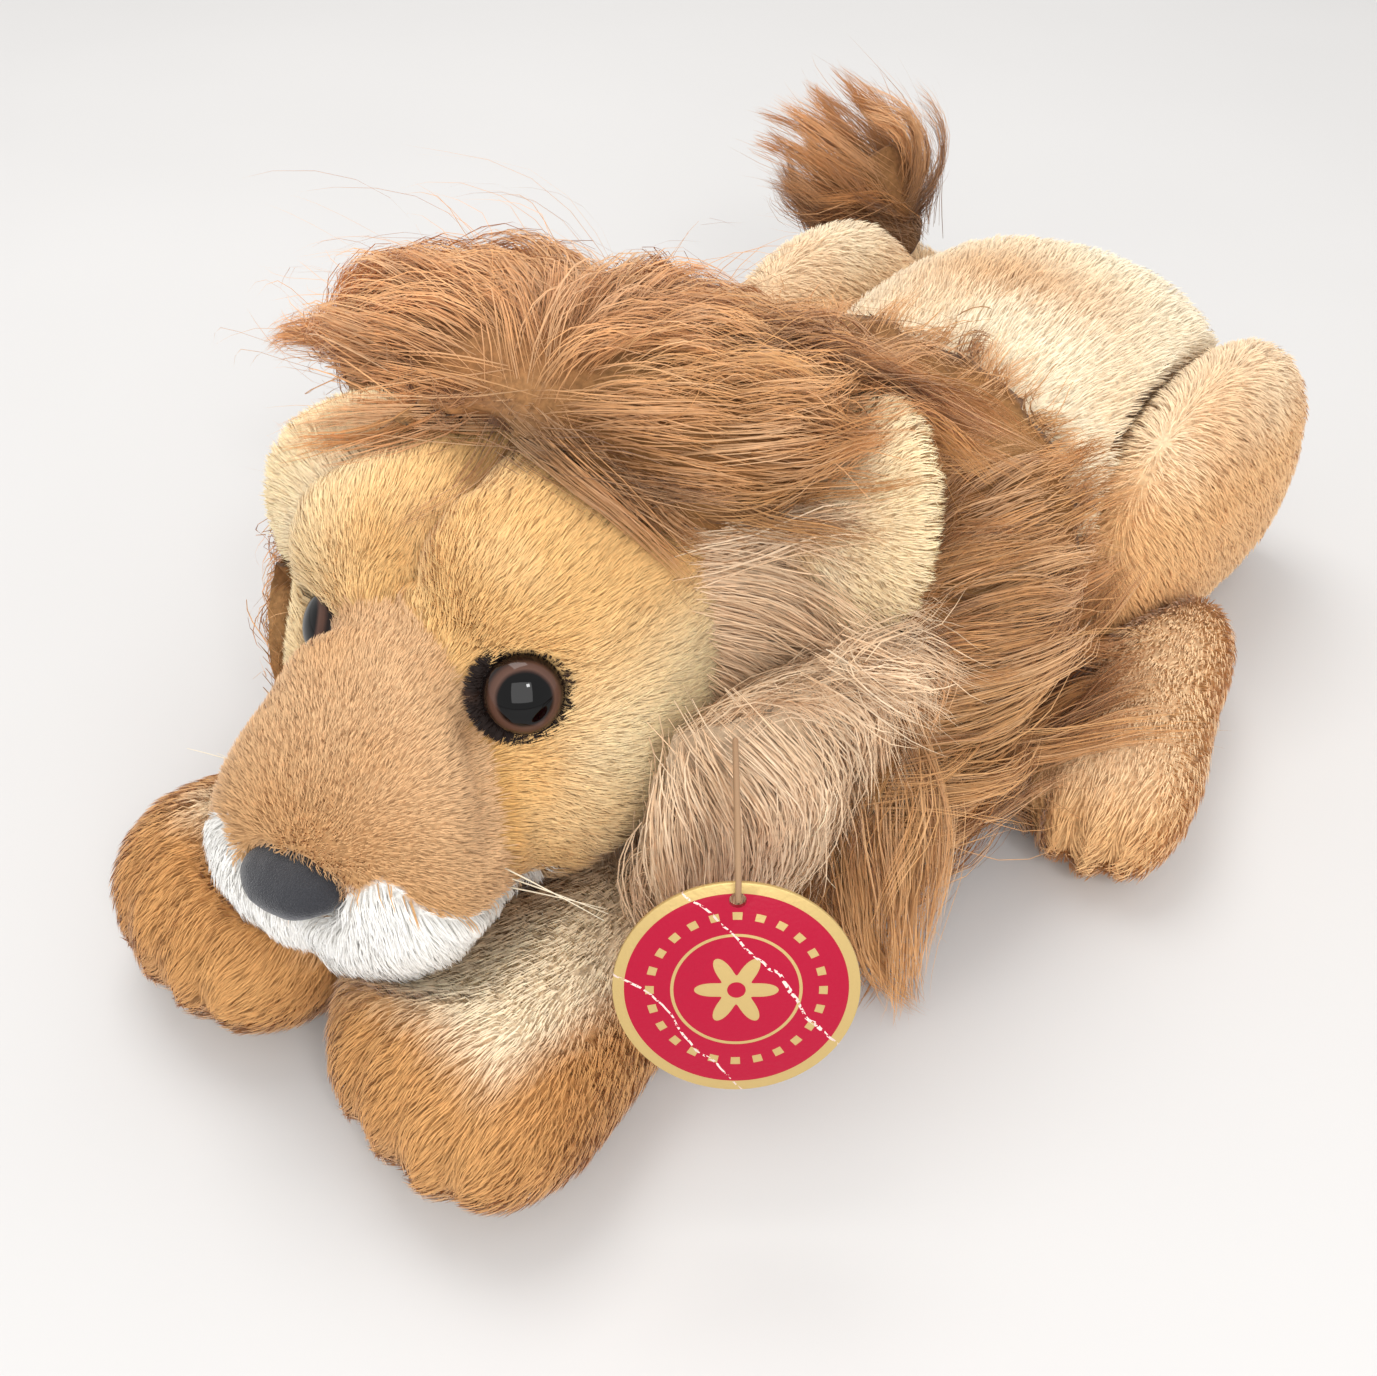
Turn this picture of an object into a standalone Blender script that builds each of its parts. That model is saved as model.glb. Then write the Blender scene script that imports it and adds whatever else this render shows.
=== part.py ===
"""A plush lion lying prone, its head turned a little to its left.

Metres, +Z up. The lion looks along -Y, its left side is +X, and the floor is
z = 0 under the flat of the belly. Every stuffed form is lofted from a table of
sections, given as shares of the form's own length, width and height.
"""

import math

import bmesh
import bpy
from mathutils import Matrix, Vector

# Fits and counts
GAP = 0.0003
REST_FLAT = 0.0005
OVERRUN = 0.040
FORM_SIDES = 18
FORM_RINGS = 12
SMALL_SIDES = 12
DISC_SIDES = 40
SQUARENESS = 2.3
SWEEP_STEPS = 3
TIP_SHARE = 0.35
SIDE_SHARE = 0.2
FLAT_MERGE = 0.000001
HALF_SPACE_SIDE = 0.4

# Torso
TORSO_LENGTH = 0.236
TORSO_WIDTH = 0.122
TORSO_HEIGHT = 0.096
TORSO_FRONT_Y = -0.068
TORSO_SHARES = (
    (0.00, 0.0, 0.46, 0.34, 0.36),
    (0.05, 0.0, 0.46, 0.62, 0.66),
    (0.14, 0.0, 0.455, 0.80, 0.86),
    (0.32, 0.0, 0.44, 0.86, 0.89),
    (0.52, 0.0, 0.46, 0.92, 0.92),
    (0.72, 0.0, 0.49, 1.00, 0.99),
    (0.87, 0.0, 0.50, 0.90, 0.92),
    (0.96, 0.0, 0.50, 0.62, 0.66),
    (1.00, 0.0, 0.50, 0.34, 0.38),
)

# Neck: the point that the head turns about, and the space that it turns in
NECK_X = -0.023
NECK_Y = -0.047
NECK_Z = 0.068
HEAD_TURN_DEG = 12.0
HEAD_TILT_DEG = 4.0
HEAD_YAW_DEG = 8.0
NECK_RADIUS = 0.059
NECK_FOOT_Z = 0.010
NECK_BOWL_Z = 0.026
NECK_RIM_Z = 0.074
CROWN_FLOOR_Z = 0.094
CROWN_FLOOR_RADIUS = 0.082
HEAD_SPACE_RADIUS = 0.150
HEAD_SPACE_TOP = 0.200
NECK_FOOT_SHARE = 0.72

# Head
HEAD_LENGTH = 0.131
HEAD_WIDTH = 0.108
HEAD_HEIGHT = 0.092
HEAD_BACK = 0.0565
HEAD_BASE_DROP = 0.041
HEAD_SHARES = (
    (0.000, 0.0, 0.40, 0.32, 0.34, 0.00),
    (0.053, 0.0, 0.42, 0.54, 0.58, 0.05),
    (0.176, 0.0, 0.46, 0.78, 0.80, 0.10),
    (0.374, 0.0, 0.50, 0.97, 0.95, 0.16),
    (0.698, 0.0, 0.50, 0.99, 0.97, 0.20),
    (0.832, 0.0, 0.45, 0.92, 0.88, 0.20),
    (0.924, 0.0, 0.38, 0.76, 0.71, 0.16),
    (1.000, 0.0, 0.32, 0.44, 0.40, 0.08),
)

# Muzzle, tan above and white below
MUZZLE_LENGTH = 0.072
MUZZLE_WIDTH = 0.076
MUZZLE_HEIGHT = 0.060
MUZZLE_START = 0.037
MUZZLE_RISE = -0.034
MUZZLE_SHARES = (
    (0.00, 0.0, 0.56, 0.80, 1.06, 0.66),
    (0.20, 0.0, 0.55, 0.92, 1.06, 0.62),
    (0.42, 0.0, 0.49, 0.98, 0.98, 0.42),
    (0.64, 0.0, 0.44, 0.98, 0.86, 0.22),
    (0.82, 0.0, 0.38, 0.90, 0.72, 0.12),
    (0.94, 0.0, 0.34, 0.70, 0.54, 0.06),
    (1.00, 0.0, 0.32, 0.42, 0.30, 0.00),
)
CHIN_LINE_FORWARD = 0.104
CHIN_LINE_RISE = -0.008
CHIN_LINE_DEG = 21.0

# Nose
NOSE_WIDTH = 0.025
NOSE_HEIGHT = 0.0105
NOSE_LENGTH = 0.016
NOSE_START = 0.0970
NOSE_RISE = -0.0120
NOSE_SHARES = (
    (0.00, 0.0, 0.50, 0.70, 0.60),
    (0.25, 0.0, 0.50, 0.95, 0.90),
    (0.55, 0.0, 0.52, 1.00, 1.00),
    (0.82, 0.0, 0.50, 0.84, 0.80),
    (1.00, 0.0, 0.46, 0.44, 0.40),
)

# Eyes
EYE_SPREAD = 0.026
EYE_FORWARD = 0.060
EYE_RISE = 0.016
EYE_OUT_DEG = 42.0
EYE_UP_DEG = 26.0
EYE_RADIUS = 0.0075
EYE_BASE_THICK = 0.0016
EYE_DOME_HEIGHT = 0.0044
EYE_DOME_RINGS = 5
SHANK_RADIUS = 0.0020
SHANK_LENGTH = 0.0120
WASHER_RADIUS = 0.0065
WASHER_THICK = 0.0012
WASHER_DEPTH = 0.0085
LINER_HALF_WIDTH = 0.0112
LINER_HALF_HEIGHT = 0.0096
LINER_THICK = 0.0012
LINER_PROUD = 0.0003

# Ears: each is placed by itself, because the mane holds the left one back
EAR_LENGTH = 0.034
EAR_WIDTH = 0.050
EAR_THICK = 0.009
EAR_CUP = 0.007
EAR_SHARES = (
    (0.00, 0.0, 0.0, 0.80, 0.80),
    (0.14, 0.0, 0.0, 0.92, 0.94),
    (0.36, 0.0, 0.0, 1.00, 1.00),
    (0.60, 0.0, 0.0, 0.95, 0.94),
    (0.82, 0.0, 0.0, 0.76, 0.82),
    (0.95, 0.0, 0.0, 0.46, 0.62),
    (1.00, 0.0, 0.0, 0.24, 0.40),
)
EAR_LEFT_BASE_SHARES = (0.35, 0.60, -0.70)
EAR_LEFT_FLAP_SHARES = (0.80, -0.20, 0.55)
EAR_LEFT_SPREAD = 0.052
EAR_LEFT_FORWARD = -0.003
EAR_LEFT_RISE = 0.026
EAR_RIGHT_BASE_SHARES = (0.50, 0.45, -0.74)
EAR_RIGHT_FLAP_SHARES = (0.86, -0.15, 0.36)
EAR_RIGHT_SPREAD = 0.019
EAR_RIGHT_FORWARD = 0.043
EAR_RIGHT_RISE = 0.026
EAR_LEFT_FLEX_DEGS = (-8.0, 8.0)
EAR_RIGHT_FLEX_DEGS = (-12.0, 0.0)

# Mane on the crown of the head
CROWN_LENGTH = 0.090
CROWN_WIDTH = 0.138
CROWN_HEIGHT = 0.056
CROWN_BACK = 0.055
CROWN_RISE = 0.014
CROWN_SHARES = (
    (0.00, 0.0, 0.36, 0.40, 0.34),
    (0.08, 0.0, 0.38, 0.68, 0.60),
    (0.26, 0.0, 0.43, 0.92, 0.86),
    (0.48, 0.0, 0.50, 1.00, 1.02),
    (0.70, 0.0, 0.53, 0.92, 1.00),
    (0.86, 0.0, 0.50, 0.74, 0.78),
    (0.95, 0.0, 0.46, 0.54, 0.54),
    (1.00, 0.0, 0.42, 0.34, 0.34),
)

# Mane round the neck and over the shoulders
COLLAR_LENGTH = 0.138
COLLAR_WIDTH = 0.190
COLLAR_HEIGHT = 0.102
COLLAR_FRONT_Y = -0.070
COLLAR_X = -0.008
COLLAR_Z = 0.002
COLLAR_SHARES = (
    (0.00, 0.0, 0.44, 0.52, 0.50, 0.10),
    (0.06, 0.0, 0.44, 0.84, 0.76, 0.14),
    (0.20, 0.0, 0.45, 1.00, 0.90, 0.20),
    (0.42, 0.0, 0.46, 1.00, 0.92, 0.22),
    (0.64, 0.0, 0.50, 0.92, 0.92, 0.18),
    (0.84, 0.0, 0.55, 0.74, 0.78, 0.12),
    (0.95, 0.0, 0.62, 0.52, 0.52, 0.05),
    (1.00, 0.0, 0.66, 0.32, 0.30, 0.00),
)

# Mane under the chin
CHEST_LENGTH = 0.046
CHEST_WIDTH = 0.118
CHEST_HEIGHT = 0.030
CHEST_BACK_Y = -0.062
CHEST_X = -0.004
CHEST_Z = 0.003
CHEST_SHARES = (
    (0.00, 0.0, 0.50, 0.80, 0.86),
    (0.20, 0.0, 0.50, 1.00, 1.00),
    (0.50, 0.0, 0.48, 0.94, 0.92),
    (0.78, 0.0, 0.44, 0.72, 0.70),
    (0.94, 0.0, 0.40, 0.46, 0.44),
    (1.00, 0.0, 0.38, 0.26, 0.24),
)

# Ruff of long hair behind each cheek, from its foot beside the jaw to its top
RUFF_WIDTH = 0.062
RUFF_THICK = 0.046
RUFF_FOOT_SPREAD = 0.058
RUFF_FOOT_FORWARD = 0.056
RUFF_FOOT_RISE = -0.036
RUFF_TOP_SPREAD = 0.063
RUFF_TOP_FORWARD = -0.002
RUFF_TOP_RISE = 0.033
RUFF_RIGHT_INWARD = 0.008
RUFF_SHARES = (
    (0.00, 0.0, 0.0, 0.34, 0.34),
    (0.10, 0.0, 0.0, 0.66, 0.64),
    (0.30, 0.0, 0.0, 0.92, 0.90),
    (0.52, 0.0, 0.0, 1.00, 1.00),
    (0.76, 0.0, 0.0, 0.88, 0.88),
    (0.92, 0.0, 0.0, 0.58, 0.58),
    (1.00, 0.0, 0.0, 0.30, 0.30),
)

# Forelegs
FORELEG_LENGTH = 0.117
FORELEG_WIDTH = 0.068
FORELEG_HEIGHT = 0.048
FORELEG_SHARES = (
    (0.00, 0.0, 0.38, 0.40, 0.40),
    (0.06, 0.0, 0.38, 0.56, 0.58),
    (0.18, 0.0, 0.37, 0.66, 0.68),
    (0.42, 0.0, 0.39, 0.70, 0.76),
    (0.60, 0.0, 0.44, 0.84, 0.88),
    (0.77, 0.0, 0.49, 1.00, 1.00),
    (0.90, 0.0, 0.46, 0.92, 0.90),
    (0.97, 0.0, 0.43, 0.66, 0.62),
    (1.00, 0.0, 0.41, 0.38, 0.34),
)
FORELEG_LEFT_X = 0.0345
FORELEG_LEFT_Y = -0.0460
FORELEG_LEFT_DEG = -1.5
FORELEG_RIGHT_X = -0.041
FORELEG_RIGHT_Y = -0.052
FORELEG_RIGHT_DEG = 3.0
SHOULDER_SEAT = 0.016
FORELEG_OUT_DEG = 6.0

# Hind legs
THIGH_LENGTH = 0.106
THIGH_WIDTH = 0.037
THIGH_HEIGHT = 0.086
THIGH_LEFT_X = 0.054
THIGH_LEFT_REAR_Y = 0.165
THIGH_LEFT_LEAN_DEG = 1.0
THIGH_RIGHT_X = -0.058
THIGH_RIGHT_REAR_Y = 0.155
THIGH_RIGHT_LEAN_DEG = -14.0
THIGH_SHARES = (
    (0.00, 0.0, 0.38, 0.46, 0.48),
    (0.07, 0.0, 0.41, 0.78, 0.74),
    (0.24, 0.0, 0.48, 0.98, 0.95),
    (0.45, 0.0, 0.50, 1.00, 1.00),
    (0.68, 0.0, 0.49, 0.96, 0.92),
    (0.86, 0.0, 0.46, 0.80, 0.70),
    (0.96, 0.0, 0.44, 0.56, 0.44),
    (1.00, 0.0, 0.43, 0.30, 0.22),
)
HIP_Y = 0.146
HIND_OUT_DEG = 10.0
FOOT_LENGTH = 0.095
FOOT_WIDTH = 0.044
FOOT_HEIGHT = 0.042
FOOT_HEEL_X = 0.072
FOOT_HEEL_Y = 0.092
FOOT_OUT_DEG = 13.0
FOOT_SHARES = (
    (0.00, 0.0, 0.46, 0.40, 0.42),
    (0.07, 0.0, 0.46, 0.66, 0.70),
    (0.26, 0.0, 0.46, 0.80, 0.90),
    (0.50, 0.0, 0.46, 0.86, 0.92),
    (0.74, 0.0, 0.49, 1.00, 1.00),
    (0.90, 0.0, 0.46, 0.90, 0.88),
    (0.97, 0.0, 0.42, 0.62, 0.60),
    (1.00, 0.0, 0.40, 0.36, 0.34),
)

# Tail: it leaves the rump, bends to the right and rises beside the right thigh
TAIL_RADIUS = 0.0072
TAIL_ROOT_X = -0.006
TAIL_ROOT_Y = 0.150
TAIL_ROOT_Z = 0.044
TAIL_REACH = 0.052
TAIL_TIP_X = -0.0890
TAIL_TIP_Y = 0.1565
TAIL_TIP_Z = 0.0590
TAIL_DIP = 0.040
TAIL_POINTS = 12
TAIL_SWING_DEG = 20.0
TUFT_LENGTH = 0.048
TUFT_WIDTH = 0.042
TUFT_SEAT = 0.007
TUFT_LEAN_DEG = 6.0
TUFT_SHARES = (
    (0.00, 0.0, 0.0, 0.40, 0.40),
    (0.08, 0.0, 0.0, 0.58, 0.58),
    (0.26, 0.0, 0.0, 0.88, 0.88),
    (0.48, 0.0, 0.0, 1.00, 1.00),
    (0.72, 0.0, 0.0, 0.84, 0.84),
    (0.90, 0.0, 0.0, 0.48, 0.48),
    (1.00, 0.0, 0.0, 0.20, 0.20),
)

# Hang tag and its string
TAG_RADIUS = 0.023
TAG_THICK = 0.0010
TAG_X = 0.0775
TAG_Y = -0.1095
TAG_Z = 0.0565
TAG_FACE_DEG = 42.0
TAG_LEAN_DEG = 18.0
TAG_HOLE_RADIUS = 0.0016
TAG_HOLE_EDGE = 0.0036
TAG_SIDES = 48
STRING_RADIUS = 0.0006
STRING_REACH = 0.020
STRING_BEND = 0.024
STRING_SPREAD = 0.0042
STRING_POINTS = 24
STRING_SIDES = 6
TAG_SWING_DEG = 12.0

# Whiskers
WHISKER_RADIUS = 0.0004
WHISKER_COUNT = 3
WHISKER_LENGTH = 0.033
WHISKER_SPREAD = 0.022
WHISKER_FORWARD = 0.080
WHISKER_RISE = -0.012
WHISKER_STEP = 0.0045
WHISKER_FAN_DEG = 9.0
WHISKER_BACK_DEG = 6.0
WHISKER_DROOP = 0.002
WHISKER_POINTS = 7
WHISKER_SIDES = 6
WHISKER_BAR_RADIUS = 0.0012


def turned(degrees: float, axis: str) -> Matrix:
    """A rotation about one axis, given in degrees."""
    return Matrix.Rotation(math.radians(degrees), 4, axis)


def placed(x: float, y: float, z: float) -> Matrix:
    """A move to a point."""
    return Matrix.Translation(Vector((x, y, z)))


def finish(name: str, colour: tuple, roughness: float, metallic: float = 0.0) -> bpy.types.Material:
    """A material with a plain colour, roughness and metallic value."""
    material = bpy.data.materials.new(name)
    material.use_nodes = True
    shader = material.node_tree.nodes["Principled BSDF"]
    shader.inputs["Base Color"].default_value = (*colour, 1.0)
    shader.inputs["Roughness"].default_value = roughness
    shader.inputs["Metallic"].default_value = metallic
    material.diffuse_color = (*colour, 1.0)
    return material


def between(rows: tuple, share: float) -> list:
    """The table's row at a share of its length, on a smooth curve through the rows."""
    span = share * (len(rows) - 1)
    index = min(int(span), len(rows) - 2)
    part = span - index
    before = rows[max(index - 1, 0)]
    first = rows[index]
    second = rows[index + 1]
    after = rows[min(index + 2, len(rows) - 1)]
    out = []
    for a, b, c, d in zip(before, first, second, after):
        slope_in = (c - a) / 2
        slope_out = (d - b) / 2
        bend = 3 * (c - b) - 2 * slope_in - slope_out
        twist = 2 * (b - c) + slope_in + slope_out
        out.append(b + part * (slope_in + part * (bend + part * twist)))
    return out


def ring_of(centre: Vector, side: Vector, rise: Vector, half_wide: float, half_high: float,
            sides: int, peak: float = 0.0) -> list:
    """The points of one rounded section; peak is the share of width lost at its top."""
    points = []
    for step in range(sides):
        angle = 2 * math.pi * (step + 0.5) / sides
        c, s = math.cos(angle), math.sin(angle)
        across = math.copysign(abs(c) ** (2 / SQUARENESS), c)
        up = math.copysign(abs(s) ** (2 / SQUARENESS), s)
        across *= 1 - peak * (up + 1) / 2
        points.append(centre + side * (across * half_wide) + rise * (up * half_high))
    return points


def skinned(rings: list) -> bmesh.types.BMesh:
    """A closed form through rings of points, with a point at each end."""
    mesh = bmesh.new()
    loops = [[mesh.verts.new(point) for point in ring] for ring in rings]
    count = len(loops[0])
    for first, second in zip(loops, loops[1:]):
        for i in range(count):
            j = (i + 1) % count
            mesh.faces.new((first[i], first[j], second[j], second[i]))
    for loop, inner in ((loops[0], loops[1]), (loops[-1], loops[-2])):
        middle = sum((v.co for v in loop), Vector()) / count
        next_middle = sum((v.co for v in inner), Vector()) / count
        tip = mesh.verts.new(middle + (middle - next_middle) * TIP_SHARE)
        for i in range(count):
            mesh.faces.new((loop[i], loop[(i + 1) % count], tip))
    bmesh.ops.recalc_face_normals(mesh, faces=mesh.faces)
    return mesh


def form_mesh(place: Matrix, length: float, width: float, height: float, rows: tuple,
              sides: int = FORM_SIDES, rings: int = FORM_RINGS, cup: float = 0.0) -> bmesh.types.BMesh:
    """A stuffed form along +Y of its own frame, from its table of sections.

    Each row holds shares: along the length, across by the width, up by the
    height, the section's own width and height, and then the share of its width
    that its top loses. A cup raises the form's sides above its middle.
    """
    loops = []
    for step in range(rings):
        along, across, up, wide, high, *peak = between(rows, step / (rings - 1))
        centre = Vector((across * width, along * length, up * height))
        loops.append(ring_of(centre, Vector((1, 0, 0)), Vector((0, 0, 1)),
                             wide * width / 2, high * height / 2, sides, *peak))
    mesh = skinned(loops)
    for vertex in mesh.verts:
        vertex.co.z += cup * (2 * vertex.co.x / width) ** 2
    mesh.transform(place)
    return mesh


def object_of(name: str, mesh: bmesh.types.BMesh, material: bpy.types.Material = None,
              smooth: bool = True) -> bpy.types.Object:
    """A new object from a mesh that is built in place."""
    data = bpy.data.meshes.new(name)
    bmesh.ops.recalc_face_normals(mesh, faces=mesh.faces)
    if mesh.calc_volume(signed=True) < 0:
        bmesh.ops.reverse_faces(mesh, faces=mesh.faces)
    mesh.to_mesh(data)
    mesh.free()
    if material:
        data.materials.append(material)
    if smooth:
        data.shade_smooth()
    obj = bpy.data.objects.new(name, data)
    bpy.context.scene.collection.objects.link(obj)
    return obj


def hide(obj: bpy.types.Object) -> bpy.types.Object:
    """Marks a cutter, which is no part of the lion."""
    obj.hide_render = True
    obj.display_type = "WIRE"
    return obj


def cut(obj: bpy.types.Object, cutter: bpy.types.Object, operation: str = "DIFFERENCE") -> None:
    """Applies one exact Boolean to an object."""
    modifier = obj.modifiers.new(operation.title() + cutter.name, "BOOLEAN")
    modifier.operation = operation
    modifier.solver = "EXACT"
    modifier.object = cutter
    evaluated = obj.evaluated_get(bpy.context.evaluated_depsgraph_get())
    data = bpy.data.meshes.new_from_object(evaluated)
    obj.modifiers.remove(modifier)
    mesh = bmesh.new()
    mesh.from_mesh(data)
    bmesh.ops.triangulate(mesh, faces=mesh.faces)
    bmesh.ops.dissolve_degenerate(mesh, dist=FLAT_MERGE, edges=mesh.edges)
    mesh.to_mesh(data)
    mesh.free()
    obj.data = data


def grown(obj: bpy.types.Object, by: float = GAP) -> bpy.types.Object:
    """A cutter: the object's own shape, larger by a clearance all round."""
    mesh = bmesh.new()
    mesh.from_mesh(obj.data)
    bmesh.ops.triangulate(mesh, faces=mesh.faces)
    mesh.normal_update()
    normals = [v.normal.copy() for v in mesh.verts]
    for vertex, normal in zip(mesh.verts, normals):
        vertex.co += normal * by
    return hide(object_of("Cutter" + obj.name, mesh))


def swept(objs: list, point: Vector, axis: Vector, low: float, high: float,
          by: float = GAP) -> bpy.types.Object:
    """A cutter: the hull of what pieces pass through as they turn about an axis."""
    mesh = bmesh.new()
    for obj in objs:
        for step in range(SWEEP_STEPS):
            degrees = low + (high - low) * step / (SWEEP_STEPS - 1)
            turn = Matrix.Rotation(math.radians(degrees), 4, axis)
            move = Matrix.Translation(point) @ turn @ Matrix.Translation(-point)
            for vertex in obj.data.vertices:
                mesh.verts.new(move @ vertex.co)
    found = bmesh.ops.convex_hull(mesh, input=mesh.verts)
    inside = {item for item in found["geom_interior"] + found["geom_unused"]
              if isinstance(item, bmesh.types.BMVert)}
    bmesh.ops.delete(mesh, geom=list(inside), context="VERTS")
    bmesh.ops.recalc_face_normals(mesh, faces=mesh.faces)
    mesh.normal_update()
    normals = [v.normal.copy() for v in mesh.verts]
    for vertex, normal in zip(mesh.verts, normals):
        vertex.co += normal * by
    return hide(object_of("Sweep" + objs[0].name, mesh))


def flattened(obj: bpy.types.Object, point: Vector, normal: Vector) -> None:
    """Cuts away what lies past a plane, on the side that its normal points to."""
    mesh = bmesh.new()
    mesh.from_mesh(obj.data)
    geometry = list(mesh.verts) + list(mesh.edges) + list(mesh.faces)
    found = bmesh.ops.bisect_plane(mesh, geom=geometry, plane_co=point, plane_no=normal,
                                   clear_outer=True, dist=FLAT_MERGE)
    edges = [item for item in found["geom_cut"] if isinstance(item, bmesh.types.BMEdge)]
    if edges:
        bmesh.ops.contextual_create(mesh, geom=edges)
    bmesh.ops.recalc_face_normals(mesh, faces=mesh.faces)
    mesh.to_mesh(obj.data)
    mesh.free()


def half_space(name: str, frame: Matrix) -> bpy.types.Object:
    """A cutter that fills all that lies above a frame's floor."""
    mesh = bmesh.new()
    bmesh.ops.create_cube(mesh, size=HALF_SPACE_SIDE)
    mesh.transform(frame @ placed(0, 0, HALF_SPACE_SIDE / 2))
    return hide(object_of(name, mesh))


def stands_flat(obj: bpy.types.Object) -> None:
    """Cuts a stuffed form flat where it lies on the floor."""
    flattened(obj, Vector((0, 0, 0)), Vector((0, 0, -1)))


def disc_mesh(place: Matrix, half_wide: float, half_high: float, low: float, high: float,
              sides: int = SMALL_SIDES) -> bmesh.types.BMesh:
    """A round plate along +Z of its own frame."""
    mesh = bmesh.new()
    bmesh.ops.create_cone(mesh, cap_ends=True, segments=sides, radius1=half_wide,
                          radius2=half_wide, depth=high - low)
    middle = Matrix.Translation(Vector((0, 0, (low + high) / 2)))
    stretch = Matrix.Diagonal(Vector((1, half_high / half_wide, 1, 1)))
    mesh.transform(place @ middle @ stretch)
    return mesh


def revolved(name: str, profile: list, centre: Vector, sides: int) -> bpy.types.Object:
    """A turned solid about a vertical axis; the profile runs from foot to top."""
    mesh = bmesh.new()
    loops = []
    for radius, z in profile:
        loops.append([mesh.verts.new((centre.x + radius * math.cos(2 * math.pi * i / sides),
                                      centre.y + radius * math.sin(2 * math.pi * i / sides), z))
                      for i in range(sides)])
    for first, second in zip(loops, loops[1:]):
        for i in range(sides):
            j = (i + 1) % sides
            mesh.faces.new((first[i], first[j], second[j], second[i]))
    mesh.faces.new(loops[0])
    mesh.faces.new(loops[-1])
    return hide(object_of(name, mesh))


def head_space(name: str, clearance: float) -> bpy.types.Object:
    """The turned space that everything on the head stays in as the head turns."""
    foot = NECK_RADIUS * NECK_FOOT_SHARE
    profile = [
        (foot + clearance, NECK_FOOT_Z - clearance),
        (NECK_RADIUS + clearance, NECK_BOWL_Z - clearance),
        (NECK_RADIUS + clearance, NECK_RIM_Z - clearance),
        (CROWN_FLOOR_RADIUS + clearance, CROWN_FLOOR_Z - clearance),
        (HEAD_SPACE_RADIUS + clearance, CROWN_FLOOR_Z - clearance),
        (HEAD_SPACE_RADIUS + clearance, HEAD_SPACE_TOP),
    ]
    return revolved(name, profile, Vector((NECK_X, NECK_Y, 0)), DISC_SIDES)


def tube_mesh(points: list, radius: float, sides: int) -> bmesh.types.BMesh:
    """A round tube along a list of points."""
    rings = []
    side = Vector((0, 0, 1))
    for index, point in enumerate(points):
        ahead = points[min(index + 1, len(points) - 1)] - points[max(index - 1, 0)]
        ahead.normalize()
        across = side.cross(ahead)
        if across.length < SIDE_SHARE:
            across = Vector((1, 0, 0)).cross(ahead)
        across.normalize()
        up = ahead.cross(across)
        rings.append([point + across * (radius * math.cos(2 * math.pi * i / sides))
                      + up * (radius * math.sin(2 * math.pi * i / sides))
                      for i in range(sides)])
    return skinned(rings)


def ring_tube(points: list, side: Vector, radius: float, sides: int) -> bmesh.types.BMesh:
    """A round tube along a closed run of points that lies square to a side."""
    mesh = bmesh.new()
    count = len(points)
    rings = []
    for index, point in enumerate(points):
        ahead = (points[(index + 1) % count] - points[index - 1]).normalized()
        up = ahead.cross(side)
        rings.append([mesh.verts.new(point + side * (radius * math.cos(2 * math.pi * i / sides))
                                     + up * (radius * math.sin(2 * math.pi * i / sides)))
                      for i in range(sides)])
    for index, first in enumerate(rings):
        second = rings[(index + 1) % count]
        for i in range(sides):
            j = (i + 1) % sides
            mesh.faces.new((first[i], first[j], second[j], second[i]))
    return mesh


def bezier(a: Vector, b: Vector, c: Vector, d: Vector, count: int) -> list:
    """Points on a smooth curve from a to d that leaves towards b and arrives from c."""
    out = []
    for step in range(count):
        t = step / (count - 1)
        s = 1 - t
        out.append(a * s ** 3 + b * (3 * s * s * t) + c * (3 * s * t * t) + d * t ** 3)
    return out


# Scene cleared
for old in list(bpy.data.objects):
    bpy.data.objects.remove(old, do_unlink=True)

# Finishes
GOLD_PLUSH = finish("GoldPlush", (0.74, 0.50, 0.24), 0.95)
CREAM_PLUSH = finish("CreamPlush", (0.84, 0.64, 0.42), 0.95)
TAN_PLUSH = finish("TanPlush", (0.62, 0.37, 0.19), 0.95)
PAW_PLUSH = finish("PawPlush", (0.62, 0.35, 0.15), 0.95)
WHITE_PLUSH = finish("WhitePlush", (0.88, 0.85, 0.80), 0.95)
BROWN_HAIR = finish("BrownHair", (0.36, 0.16, 0.06), 0.80)
DARK_HAIR = finish("DarkHair", (0.16, 0.07, 0.03), 0.80)
TAUPE_HAIR = finish("TaupeHair", (0.50, 0.36, 0.25), 0.85)
CHARCOAL_VELOUR = finish("CharcoalVelour", (0.05, 0.05, 0.06), 0.80)
LINER_PLUSH = finish("LinerPlush", (0.03, 0.015, 0.01), 0.90)
BROWN_PLASTIC = finish("BrownPlastic", (0.09, 0.035, 0.015), 0.25)
CLEAR_PLASTIC = finish("ClearPlastic", (0.85, 0.85, 0.85), 0.03)
NATURAL_PLASTIC = finish("NaturalPlastic", (0.75, 0.74, 0.70), 0.45)
CRIMSON_CARD = finish("CrimsonCard", (0.60, 0.01, 0.06), 0.35)
STRING_FINISH = finish("TagString", (0.62, 0.55, 0.40), 0.70)
CLEAR_NYLON = finish("ClearNylon", (0.80, 0.76, 0.68), 0.30)

# Frames of the head
HEAD_FRAME = placed(NECK_X, NECK_Y, NECK_Z) @ turned(HEAD_TURN_DEG, "Z") @ turned(-HEAD_TILT_DEG, "Y")


def head_forward(back: float, rise: float) -> Matrix:
    """A frame on the head whose +Y runs forward, from a distance behind the neck point."""
    return HEAD_FRAME @ placed(0, back, rise) @ turned(180, "Z")


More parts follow.
